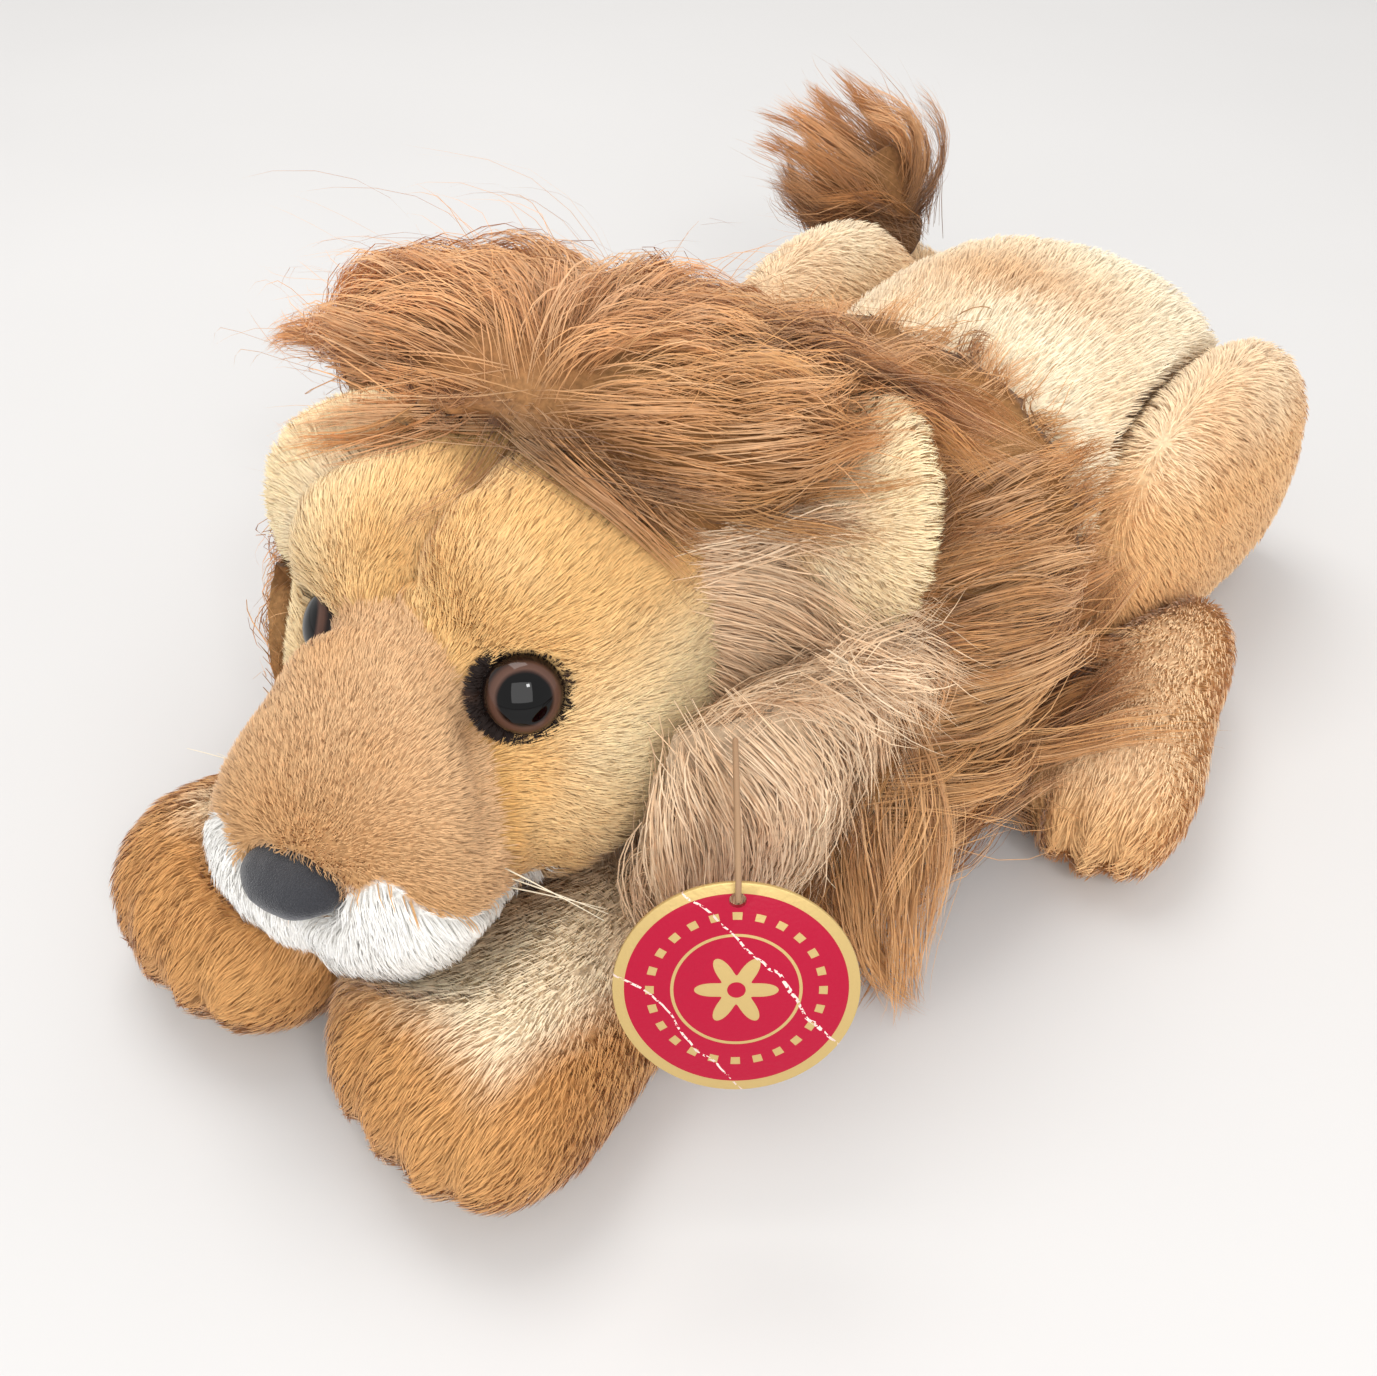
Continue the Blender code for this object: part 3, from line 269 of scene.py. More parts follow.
def linked(name: str, data: bpy.types.ID) -> bpy.types.Object:
    """Puts data into the scene as an object."""
    obj = bpy.data.objects.new(name, data)
    bpy.context.scene.collection.objects.link(obj)
    return obj


def primitive(add: Callable, name: str, **settings: object) -> bpy.types.Object:
    """Adds one of Blender's plain meshes.

    Args:
        add: Its operator.
        name: The new object's name.
        settings: The operator's settings by name.

    Returns:
        The object.
    """
    bpy.ops.object.select_all(action="DESELECT")
    add(**settings)
    obj = bpy.context.object
    obj.name = name
    return obj


def threads(name: str, radius: float, rounding: int, lines: list) -> bpy.types.Object:
    """Makes round threads along paths.

    Args:
        name: The piece's name.
        radius: The threads' radius.
        rounding: How finely they are rounded.
        lines: The points of each thread, each with its share of the radius.

    Returns:
        The piece, a curve.
    """
    curve = bpy.data.curves.new(name, "CURVE")
    curve.dimensions = "3D"
    curve.bevel_depth = radius
    curve.bevel_resolution = rounding
    curve.use_fill_caps = True
    for line in lines:
        spline = curve.splines.new("POLY")
        spline.points.add(len(line) - 1)
        for point, (spot, share) in zip(spline.points, line):
            point.co = (*spot, 1)
            point.radius = share
    return linked(name, curve)


def copied(name: str, nodes: list[str]) -> bpy.types.Object:
    """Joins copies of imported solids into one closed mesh.

    Args:
        name: The new piece's name.
        nodes: The solids to copy.

    Returns:
        The new piece.
    """
    pieces = [linked(name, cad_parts[node].data.copy()) for node in nodes]
    obj = alone(pieces[0])
    for piece in pieces[1:]:
        piece.select_set(True)
    if len(pieces) > 1:
        bpy.ops.object.join()
    obj.data.materials.clear()
    return edited(obj, lambda: bpy.ops.mesh.remove_doubles(threshold=1e-6))


def column(items: bpy.types.bpy_prop_collection, key: str, kind: type = float) -> Array:
    """Reads three numbers of each item of a mesh, as rows."""
    flat = np.empty(len(items) * 3, kind)
    items.foreach_get(key, flat)
    return flat.reshape(-1, 3)


def mapped(obj: bpy.types.Object, name: str, places: Array) -> None:
    """Writes a UV layer from one place for each point of the mesh."""
    corners = [loop.vertex_index for loop in obj.data.loops]
    layer = obj.data.uv_layers.new(name=name)
    layer.data.foreach_set("uv", places[corners].astype(np.float32).ravel())


# Finishes

class Graph:
    """A new material, whose nodes are made, set and linked in one step."""

    def __init__(self, name: str, values: dict) -> None:
        """Starts the material.

        Args:
            name: The material's name.
            values: The inputs of its Principled shader.
        """
        self.material = bpy.data.materials.new(name)
        self.material.use_nodes = True
        self.shader = self.material.node_tree.nodes["Principled BSDF"]
        self.fill(self.shader, values)

    def fill(self, node: bpy.types.Node, values: dict) -> None:
        """Links the inputs that are given a socket and sets the others."""
        for key, value in values.items():
            if isinstance(value, Socket):
                self.material.node_tree.links.new(value, node.inputs[key])
            else:
                node.inputs[key].default_value = value

    def node(self, kind: str, values: dict, **settings: object) -> bpy.types.Node:
        """Adds a node.

        Args:
            kind: Its type, without Blender's prefix.
            values: Its inputs.
            settings: Its other settings by name.

        Returns:
            The node.
        """
        node = self.material.node_tree.nodes.new(f"ShaderNode{kind}")
        for key, value in settings.items():
            setattr(node, key, value)
        self.fill(node, values)
        return node

    def grain(self, **values: float) -> Socket:
        """A noise in the piece's own space."""
        place = self.node("TexCoord", {}).outputs["Object"]
        return self.node("TexNoise", {"Vector": place, **values}).outputs["Fac"]

    def layer(self, name: str) -> Socket:
        """The places of a UV layer."""
        return self.node("UVMap", {}, uv_map=name).outputs["UV"]

    def maths(self, operation: str, *values: object) -> Socket:
        """One step of arithmetic on numbers or sockets."""
        return self.node("Math", dict(enumerate(values)), operation=operation).outputs[0]

    def ramp(self, value: Socket, stops: tuple) -> Socket:
        """Colours along a value.

        Args:
            value: What picks the colour.
            stops: The place and the linear colour of each stop, from 0 to 1.

        Returns:
            The colour.
        """
        node = self.node("ValToRGB", {"Fac": value})
        elements = node.color_ramp.elements
        for place, colour in stops:
            stop = elements.new(place) if 0 < place < 1 else elements[-1 if place else 0]
            stop.color = (*colour, 1)
        return node.outputs["Color"]

    def relief(self, height: Socket, strength: float, depth: float) -> None:
        """Gives the shader's surface a relief."""
        bump = self.node("Bump", {"Height": height, "Strength": strength, "Distance": depth})
        self.fill(self.shader, {"Normal": bump.outputs["Normal"]})


@dataclass(frozen=True)
class Fabric:
    """A finish that takes its colour from the piece and breaks it up with a fine grain."""

    name: str
    roughness: float = 0.85
    sheen: float = 0.15
    specular: float = 0.25
    grain: float = 900.0
    depth: float = 0.16
    bump: float = 0.0
    sheen_roughness: float = 0.45
    bump_depth: float = 0.0004

    def material(self) -> bpy.types.Material:
        """Builds the finish's nodes the first time and finds them again later."""
        made = bpy.data.materials.get(self.name)
        if made:
            return made
        graph = Graph(self.name, {"Roughness": self.roughness, "Specular IOR Level": self.specular,
                                  "Sheen Weight": self.sheen,
                                  "Sheen Roughness": self.sheen_roughness})
        grain = graph.grain(Scale=self.grain, Detail=3.0)
        span = graph.node("MapRange", {"Value": grain, "From Min": 0.3, "From Max": 0.7,
                                       "To Min": 1 - self.depth, "To Max": 1 + self.depth})
        tint = graph.node("Attribute", {}, attribute_name="tint").outputs["Color"]
        scaled = graph.node("VectorMath", {0: tint, "Scale": span.outputs["Result"]},
                            operation="SCALE")
        graph.fill(graph.shader, {"Base Color": scaled.outputs["Vector"]})
        if self.bump:
            graph.relief(grain, self.bump, self.bump_depth)
        return graph.material


@dataclass(frozen=True)
class Plastic:
    """A moulded finish of one colour with faint flow marks."""

    name: str
    colour: tuple
    roughness: float = 0.3
    marks: float = 60.0
    darker: float = 0.86

    def material(self) -> bpy.types.Material:
        """Builds the finish's nodes."""
        graph, colour = Graph(self.name, {}), srgb(*self.colour)
        grain = graph.grain(Scale=self.marks, Detail=4.0)
        span = graph.node("MapRange", {"Value": grain, "To Min": 0.8 * self.roughness,
                                       "To Max": 1.2 * self.roughness})
        tone = graph.ramp(grain, ((0, self.darker * colour), (1, colour)))
        graph.fill(graph.shader, {"Base Color": tone, "Roughness": span.outputs["Result"]})
        return graph.material


BACKING = Fabric("PlushBacking", 0.95, 0.1, 0.1, 700.0, 0.25, 0.6)
SHORT_PILE = Fabric("ShortPile", 0.75, 0.25, 0.25, 1400.0, 0.10)
LONG_HAIR = Fabric("LongHair", 0.50, 0.10, 0.45, 500.0, 0.14)
VELOUR = Fabric("NoseVelour", 0.80, 0.40, 0.20, 3500.0, 0.30, 0.8)
WASHER = Plastic("WasherPlastic", (196, 194, 186), 0.5)
CORD_THREAD = Plastic("CordThread", (164, 130, 98), 0.8, 1800.0)
WHISKER_NYLON = Plastic("WhiskerNylon", (244, 232, 206), 0.25, 300.0)


# Skins

class Skin:
    """A piece's stuffed cloth skin, with what growing hair on it needs to know."""

    def __init__(self, obj: bpy.types.Object) -> None:
        """Reads the piece's mesh."""
        self.obj = obj
        self.read()

    def read(self) -> None:
        """Reads places, normals and triangles anew."""
        mesh = self.obj.data
        mesh.calc_loop_triangles()
        self.points = column(mesh.vertices, "co")
        self.normals = column(mesh.vertex_normals, "vector")
        self.tris = column(mesh.loop_triangles, "vertices", np.int32)
        corner = self.points[self.tris]
        self.centres = corner.mean(1)
        cross = np.cross(corner[:, 1] - corner[:, 0], corner[:, 2] - corner[:, 0])
        self.areas = np.linalg.norm(cross, axis=1) / 2
        self.faces_out = unit(cross)

    def move(self, by: Array) -> None:
        """Moves each point by its own row."""
        places = self.points + by
        places[:, 2] = np.maximum(places[:, 2], FLOOR_GAP)
        self.obj.data.vertices.foreach_set("co", places.ravel())
        self.obj.data.update()
        self.read()

    def raise_by(self, amount: Array) -> None:
        """Moves each point along its normal."""
        self.move(self.normals * np.broadcast_to(amount, len(self.points))[:, None])

    def tree(self) -> BVHTree:
        """A tree of the skin's triangles."""
        return BVHTree.FromPolygons(self.points.tolist(), self.tris.tolist())

    def paint(self, tint: Rows, shade: float) -> None:
        """Writes the skin's colour, its hair's colour darkened as painted shade deep in the pile.
        """
        write_tint(self.obj.data, tint(self.points) * shade)

    def open_faces(self, covers: list[BVHTree], reach: float) -> Array:
        """Which faces see out, rather than lie against another piece.

        Args:
            covers: Trees of what may lie on the skin.
            reach: How far off another piece still hides a face.

        Returns:
            One or zero for each triangle.
        """
        seen, off = np.ones(len(self.tris)), 0.0004
        for index, (centre, out) in enumerate(zip(self.centres, self.faces_out)):
            start = Vector(centre + out * off)
            along = Vector(out)
            if any(tree.ray_cast(start, along, reach)[0] is not None for tree in covers):
                seen[index] = 0
        return seen


def write_tint(mesh: bpy.types.Mesh, colours: Array) -> None:
    """Writes one colour for each point of a mesh."""
    layer = mesh.color_attributes.get("tint") or mesh.color_attributes.new(
        name="tint", type="FLOAT_COLOR", domain="POINT")
    full = np.ones((len(mesh.vertices), 4), np.float32)
    full[:, :3] = np.clip(colours, 0, 1)
    layer.data.foreach_set("color", full.ravel())


def skin_of(name: str, nodes: list[str], voxel: float, inset: float, rounds: int = 6) -> Skin:
    """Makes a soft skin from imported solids, a little inside them.

    Args:
        name: The new piece's name.
        nodes: The solids that it follows.
        voxel: The width of its faces.
        inset: How far inside the solids it lies.
        rounds: How often it is smoothed.

    Returns:
        The skin.
    """
    obj = copied(name, nodes)
    applied(obj, "REMESH", mode="VOXEL", voxel_size=voxel)
    applied(obj, "SMOOTH", factor=0.5, iterations=rounds)
    settled(obj, BACKING.material())
    skin = Skin(obj)
    skin.raise_by(np.full(len(skin.points), -inset))
    return skin


def puffed(skin: Skin, most: float, pressure: float = 4.0, frames: int = 16) -> Skin:
    """Lets the stuffing press the cloth out, with its folds, by a cloth simulation.

    Args:
        skin: The piece, slightly too small.
        most: How far a point may move.
        pressure: The stuffing's pressure.
        frames: How long the cloth moves.

    Returns:
        The same skin.
    """
    obj, before = alone(skin.obj), skin.points.copy()
    cloth = obj.modifiers.new("Cloth", "CLOTH")
    cloth.settings.use_pressure = True
    cloth.settings.uniform_pressure_force = pressure
    cloth.settings.effector_weights.gravity = 0.0
    cloth.settings.quality = 4
    scene = bpy.context.scene
    for step in range(1, frames + 1):
        scene.frame_set(step)
    bpy.ops.object.modifier_apply(modifier=cloth.name)
    scene.frame_set(1)
    skin.read()
    way = skin.points - before
    far = np.linalg.norm(way, axis=1, keepdims=True)
    skin.points = before
    skin.move(way * np.minimum(1, most / np.maximum(far, 1e-9)))
    return skin


# Hair

@dataclass(frozen=True)
class Pile:
    """How a fabric's hair grows."""

    most: int = 40000
    length: float = 0.0052
    width: float = 0.00030
    rise: float = 0.62
    lay: float = 0.30
    clump: float = 0.22
    cell: float = 0.0018
    stray: float = 0.22
    contrast: float = 0.07
    # Painted shade at the roots and painted light at the tips, as shares of the colour
    root: float = 0.86
    tip: float = 1.08


@dataclass(frozen=True)
class Mane:
    """How long hair grows in locks."""

    locks: int = 600
    hairs: int = 9000
    length: float = 0.042
    width: float = 0.00030
    joints: int = 7
    rise: float = 0.45
    droop: float = 0.08
    wave: float = 0.18
    spread: float = 0.0042
    gather: float = 0.60
    frizz: float = 0.0008
    layers: float = 0.0085
    comb: float = 0.9
    pale: float = 0.18
    contrast: float = 0.10
    # Painted shade at the roots and painted light at the tips, as shares of the colour
    root: float = 0.66
    tip: float = 1.10


def ribbons(name: str, paths: Array, widths: Array, sides: Array, colours: Array,
            normals: Array, material: bpy.types.Material) -> bpy.types.Object:
    """Makes one mesh of flat tapering hairs.

    Args:
        name: The piece's name.
        paths: The points of each hair, root first.
        widths: The width at each point of each hair.
        sides: The direction across each hair at each point.
        colours: The colour at each point of each hair.
        normals: The shading normal at each point of each hair.
        material: The finish.

    Returns:
        The piece.
    """
    count, steps = paths.shape[:2]
    each = 2 * (steps - 1) + 1
    body, half = paths[:, :-1], (sides * widths[..., None] / 2)[:, :-1]
    points = np.empty((count, each, 3), np.float32)
    points[:, 0:-1:2], points[:, 1::2], points[:, -1] = body - half, body + half, paths[:, -1]
    corner = np.repeat(np.arange(steps - 1), 2)
    tints = np.concatenate([colours[:, corner], colours[:, -1:]], 1)
    shading = np.concatenate([normals[:, corner], normals[:, -1:]], 1)
    loop = [v for k in range(steps - 2) for v in (2 * k, 2 * k + 1, 2 * k + 3, 2 * k + 2)]
    loop = np.array(loop + [2 * steps - 4, 2 * steps - 3, 2 * steps - 2])
    loops = (np.arange(count)[:, None] * each + loop).ravel()
    starts = np.append(4 * np.arange(steps - 2), 4 * (steps - 2))
    starts = (np.arange(count)[:, None] * len(loop) + starts).ravel()
    mesh = bpy.data.meshes.new(name)
    mesh.vertices.add(count * each)
    mesh.vertices.foreach_set("co", points.ravel())
    mesh.loops.add(len(loops))
    mesh.loops.foreach_set("vertex_index", loops.astype(np.int32))
    mesh.polygons.add(len(starts))
    mesh.polygons.foreach_set("loop_start", starts.astype(np.int32))
    mesh.update(calc_edges=True)
    write_tint(mesh, tints.reshape(-1, 3))
    columns = int(math.ceil(math.sqrt(count)))
    cells = np.stack([np.arange(count) % columns, np.arange(count) // columns], 1)[:, None]
    inner = np.empty((each, 2))
    inner[:-1, 0], inner[-1, 0] = np.tile((0.2, 0.8), steps - 1), 0.5
    inner[:, 1] = 0.1 + 0.8 * np.append(corner, steps - 1) / (steps - 1)
    spots = ((cells + inner) / columns).reshape(-1, 2)
    layer = mesh.uv_layers.new(name="OFBake")
    layer.data.foreach_set("uv", spots[loops].astype(np.float32).ravel())
    mesh.materials.append(material)
    mesh.polygons.foreach_set("use_smooth", np.ones(len(starts), bool))
    mesh.normals_split_custom_set_from_vertices(unit(shading.reshape(-1, 3)))
    return linked(name, mesh)


def rooted(skin: Skin, weights: Array, count: int, dice: np.random.Generator) -> tuple:
    """Picks places for hairs on a skin.

    Args:
        skin: The skin.
        weights: How much grows on each triangle.
        count: How many hairs.
        dice: The seeded source of chance.

    Returns:
        The places and the skin's normals there.
    """
    share = weights * skin.areas
    face = dice.choice(len(share), count, p=share / share.sum())
    one, two = dice.random(count), dice.random(count)
    flip = one + two > 1
    one, two = np.where(flip, 1 - one, one), np.where(flip, 1 - two, two)
    part = np.stack([1 - one - two, one, two], 1)[..., None]
    corners = skin.tris[face]
    return ((skin.points[corners] * part).sum(1), unit((skin.normals[corners] * part).sum(1)))


def boxed(paths: Array) -> Array:
    """Bends hair that leaves the solids' box, so that it stays near it."""
    low, high = np.array(CAD_BOX)
    over = np.maximum(paths - high, 0) - np.maximum(low - paths, 0)
    return paths - over + HAIR_ROOM * np.tanh(over / HAIR_ROOM)


def tangent(flow: Array, normals: Array) -> Array:
    """The part of each direction that runs along the skin."""
    return unit(flow - normals * (flow * normals).sum(1, keepdims=True))


def short_pile(name: str, skin: Skin, pile: Pile, flow: Rows, tint: Rows, weights: Array,
               seed: int, scale: Optional[Rows] = None) -> bpy.types.Object:
    """Grows short hair on a skin.

    Args:
        name: The piece's name.
        skin: The skin.
        pile: How the hair grows.
        flow: The way it is brushed, for each place.
        tint: Its colour, for each place.
        weights: How much grows on each triangle.
        seed: Picks the chance.
        scale: Its length as a share, for each place.

    Returns:
        The piece.
    """
    dice = np.random.default_rng(seed)
    count = pile.most
    roots, out = rooted(skin, weights, count, dice)
    along = tangent(flow(roots) + dice.normal(0, 1, roots.shape) * 1e-4, out)
    turn = pile.stray * (noise(roots, 0.006, seed) + 0.6 * noise(roots, 0.0025, seed + 1)
                         + 0.5 * dice.normal(0, 1, count))
    along = unit(along + np.cross(out, along) * turn[:, None])
    length = pile.length * dice.uniform(0.7, 1.12, count)
    length *= 1 + 0.15 * noise(roots, 0.004, seed + 2)
    if scale is not None:
        length *= scale(roots)
    length = length[:, None]
    rise = pile.rise * dice.uniform(0.8, 1.2, count) + 0.15 * noise(roots, 0.005, seed + 3)
    first = unit(out * rise[:, None] + along * (1 - pile.rise * 0.55))
    second = unit(out * rise[:, None] * pile.lay + along)
    middle = roots + first * length * 0.5
    tips = middle + second * length * 0.5
    key = np.floor(roots / pile.cell + dice.random(3)).astype(np.int64)
    key = key[:, 0] * 1000003 + key[:, 1] * 1009 + key[:, 2]
    index = np.unique(key, return_inverse=True)[1].ravel()
    total = np.bincount(index)[:, None]
    mean = np.stack([np.bincount(index, tips[:, k]) for k in range(3)], 1) / total
    tips += (mean[index] - tips) * pile.clump
    middle += (mean[index] - tips) * pile.clump * 0.25
    paths = np.stack([roots - out * PILE_ROOT, middle, tips], 1)
    paths[..., 2] = np.maximum(paths[..., 2], PILE_GAP)
    heading = unit(tips - roots)
    side = unit(np.cross(heading, out))
    angle = dice.uniform(-1.0, 1.0, count)[:, None]
    side = side * np.cos(angle) + np.cross(heading, side) * np.sin(angle)
    sides = np.repeat(side[:, None], 3, 1)
    widths = pile.width * dice.uniform(0.8, 1.25, count)[:, None] * np.array((1.0, 0.85, 0.0))
    tone = 1 + pile.contrast * np.clip(dice.normal(0, 1, count), -2, 2)
    tone += 0.5 * pile.contrast * noise(roots, 0.003, seed + 5)
    base = tint(roots)[:, None] * tone[:, None, None]
    # Darker roots and lighter tips: painted shade and painted light along each hair
    colours = base * np.array((pile.root, 0.92, pile.tip))[:, None]
    flat = np.cross(side, heading)
    normals = unit(out * 0.95 + flat * 0.18)
    normals = np.repeat(normals[:, None], 3, 1)
    return ribbons(name, paths, widths, sides, colours, normals, SHORT_PILE.material())


def traced(roots: Array, out: Array, mane: Mane, flow: Rows, hug: BVHTree, reach: Array,
           seed: int) -> Array:
    """Follows the middle of each lock from its root, combed along what it lies on.

    Args:
        roots: Where the locks grow.
        out: The skin's normals there.
        mane: How the hair grows.
        flow: The way it is brushed, for each place.
        hug: The tree of what the hair lies on.
        reach: The length of each lock.
        seed: Picks the chance.

    Returns:
        The points of each lock, root first.
    """
    dice = np.random.default_rng(seed)
    count = len(roots)
    at, stride = roots.copy(), reach[:, None] / (mane.joints - 1)
    heading = unit(out * mane.rise + tangent(flow(roots), out))
    level = dice.uniform(0.0008, mane.layers, count)
    phase = dice.uniform(0, 2 * math.pi, count)
    bend = dice.uniform(0.3, 1.0, count) * mane.wave
    path = [at.copy()]
    for step in range(1, mane.joints):
        share = step / (mane.joints - 1)
        normal, gap = np.empty((count, 3)), np.empty(count)
        for index, point in enumerate(at):
            near, facing, _, _ = hug.find_nearest(Vector(point))
            normal[index] = facing
            gap[index] = (Vector(point) - near).dot(facing)
        way = flow(at)
        way = unit(way - normal * (way * normal).sum(1, keepdims=True) * mane.comb)
        turn = bend * np.sin(phase + share * 3.5) + 1.8 * mane.wave * noise(at, 0.028, seed + 2)
        way = unit(way + np.cross(normal, way) * turn[:, None])
        lift = np.clip((level * (1 - 0.5 * share) - gap) / stride[:, 0], -0.5 * mane.comb, 0.8)
        heading = unit(heading * 0.45 + way * 0.55 + normal * lift[:, None] * 0.6
                       - UP * mane.droop * share)
        at = at + heading * stride
        at[:, 2] = np.maximum(at[:, 2], LOCK_GAP)
        path.append(at.copy())
    lock = np.stack(path, 1)
    for _ in range(2):
        lock[:, 1:-1] = (lock[:, :-2] + 2 * lock[:, 1:-1] + lock[:, 2:]) / 4
    return lock


def long_hair(name: str, skin: Skin, mane: Mane, flow: Rows, tint: Rows, weights: Array,
              hug: BVHTree, seed: int, scale: Optional[Rows] = None) -> bpy.types.Object:
    """Grows long hair in locks on a skin.

    Args:
        name: The piece's name.
        skin: The skin.
        mane: How the hair grows.
        flow: The way it is brushed, for each place.
        tint: Its colour, for each place.
        weights: How much grows on each triangle.
        hug: The tree of what the hair lies on.
        seed: Picks the chance.
        scale: Its length as a share, for each place.

    Returns:
        The piece.
    """
    dice = np.random.default_rng(seed)
    starts, out = rooted(skin, weights, mane.locks, dice)
    reach = mane.length * dice.uniform(0.65, 1.2, mane.locks)
    if scale is not None:
        reach *= scale(starts)
    guides = traced(starts, out, mane, flow, hug, reach, seed + 1)
    per = dice.choice(mane.locks, mane.hairs, p=reach / reach.sum())
    guide, normal = guides[per], out[per]
    offset = dice.normal(0, 1, (mane.hairs, 3))
    offset -= normal * (offset * normal).sum(1, keepdims=True) * 0.6
    offset *= mane.spread * np.sqrt(dice.random(mane.hairs))[:, None]
    share = np.linspace(0, 1, mane.joints)
    close = 1 - mane.gather * share ** 0.8 * dice.uniform(0.75, 1.15, mane.hairs)[:, None]
    paths = guide + offset[:, None] * close[..., None]
    swing = dice.normal(0, 1, (mane.hairs, 3))
    turn = dice.uniform(0, 2 * math.pi, mane.hairs)[:, None]
    beat = np.sin(turn + share * dice.uniform(3, 8, mane.hairs)[:, None]) * share
    paths += swing[:, None] * beat[..., None] * mane.frizz
    wild = dice.random(mane.hairs) < WILD_SHARE
    paths += (swing * wild[:, None])[:, None] * (share ** 2)[:, None] * WILD_REACH
    cut = dice.uniform(0.72, 1.0, mane.hairs)[:, None, None]
    paths = paths[:, :1] + (paths - paths[:, :1]) * (1 - share[:, None] * (1 - cut))
    paths[:, 0] -= normal * HAIR_ROOT
    paths = boxed(paths)
    paths[..., 2] = np.maximum(paths[..., 2], HAIR_GAP)
    heading = unit(np.gradient(paths, axis=1))
    up = np.repeat(normal[:, None], mane.joints, 1)
    up = unit(up - heading * (up * heading).sum(2, keepdims=True) + 1e-6)
    side = np.cross(heading, up)
    angle = dice.uniform(-0.9, 0.9, mane.hairs)[:, None, None]
    sides = side * np.cos(angle) + up * np.sin(angle)
    shape = np.interp(share, (0, 0.15, 0.7, 1), (0.6, 1.0, 0.75, 0.1))
    widths = mane.width * dice.uniform(0.7, 1.3, mane.hairs)[:, None] * shape
    tone = dice.normal(0, 1, mane.locks)[per] * 0.7 + dice.normal(0, 1, mane.hairs) * 0.6
    base = tint(paths[:, 0]) * (1 + mane.contrast * np.clip(tone, -2.2, 2.2))[:, None]
    light = 0.6 * (dice.random(mane.locks) < mane.pale)[per]
    light += 0.5 * (dice.random(mane.hairs) < mane.pale)
    base = mixed(base, PALE_HAIR, 0.55 * light)
    # Darker roots and lighter tips: painted shade and painted light along each hair
    ramp = np.interp(share, (0, 0.35, 0.8, 1), (mane.root, 0.9, 1.05, mane.tip))
    colours = base[:, None] * ramp[:, None]
    normals = unit(up * 0.75 + np.cross(sides, heading) * 0.45)
    return ribbons(name, paths, widths, sides, colours, normals, LONG_HAIR.material())


# Sub-assemblies

@dataclass
class Assembly:
    """What every sub-assembly knows: the skins of the whole lion and its own pieces."""

    skins: dict = field(default_factory=dict)

    def covers(self, own: str, skip: tuple = ()) -> list[BVHTree]:
        """Trees of all other skins."""
        return [tree for key, (_, tree) in self.skins.items() if key != own and key not in skip]

    def whole(self) -> BVHTree:
        """One tree of all skins."""
        skins = [skin for skin, _ in self.skins.values()]
        shift = np.cumsum([0] + [len(skin.points) for skin in skins])
        points = np.concatenate([skin.points for skin in skins])
        tris = np.concatenate([skin.tris + step for skin, step in zip(skins, shift)])
        return BVHTree.FromPolygons(points.tolist(), tris.tolist())

    def add(self, key: str, skin: Skin) -> Skin:
        """Keeps a finished skin and its tree."""
        self.skins[key] = (skin, skin.tree())
        return skin

    @staticmethod
    def place(obj: bpy.types.Object, body: str, slot: str, nodes: tuple = (),
              fill: Optional[float] = None) -> bpy.types.Object:
        """Lets a piece ride on its body, hides the solids that it replaces and logs its faces.

        Args:
            obj: The piece.
            body: The body that it moves with.
            slot: The record's material slot; not used.
            nodes: The solids that it replaces.
            fill: How full a stuffed piece is; not used.

        Returns:
            The piece.
        """
        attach(obj, body)
        if nodes:
            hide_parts(*nodes)
        LOG.info("%s: %d faces on %s", obj.name, len(obj.data.polygons), body)
        return obj


@dataclass(frozen=True)
class Bump:
    """A soft rise of the face, or a dent where its height is below zero."""

    left: float
    forward: float
    up: float
    radius: float
    height: float
    shift: float = 0.0

    def lift(self, at: Array, sign: int = 1) -> Array:
        """How far it lifts each place, on the lion's left or, with -1, its right."""
        centre = (sign * self.left + self.shift, self.forward, self.up)
        return self.height * bell(at, centre, self.radius)


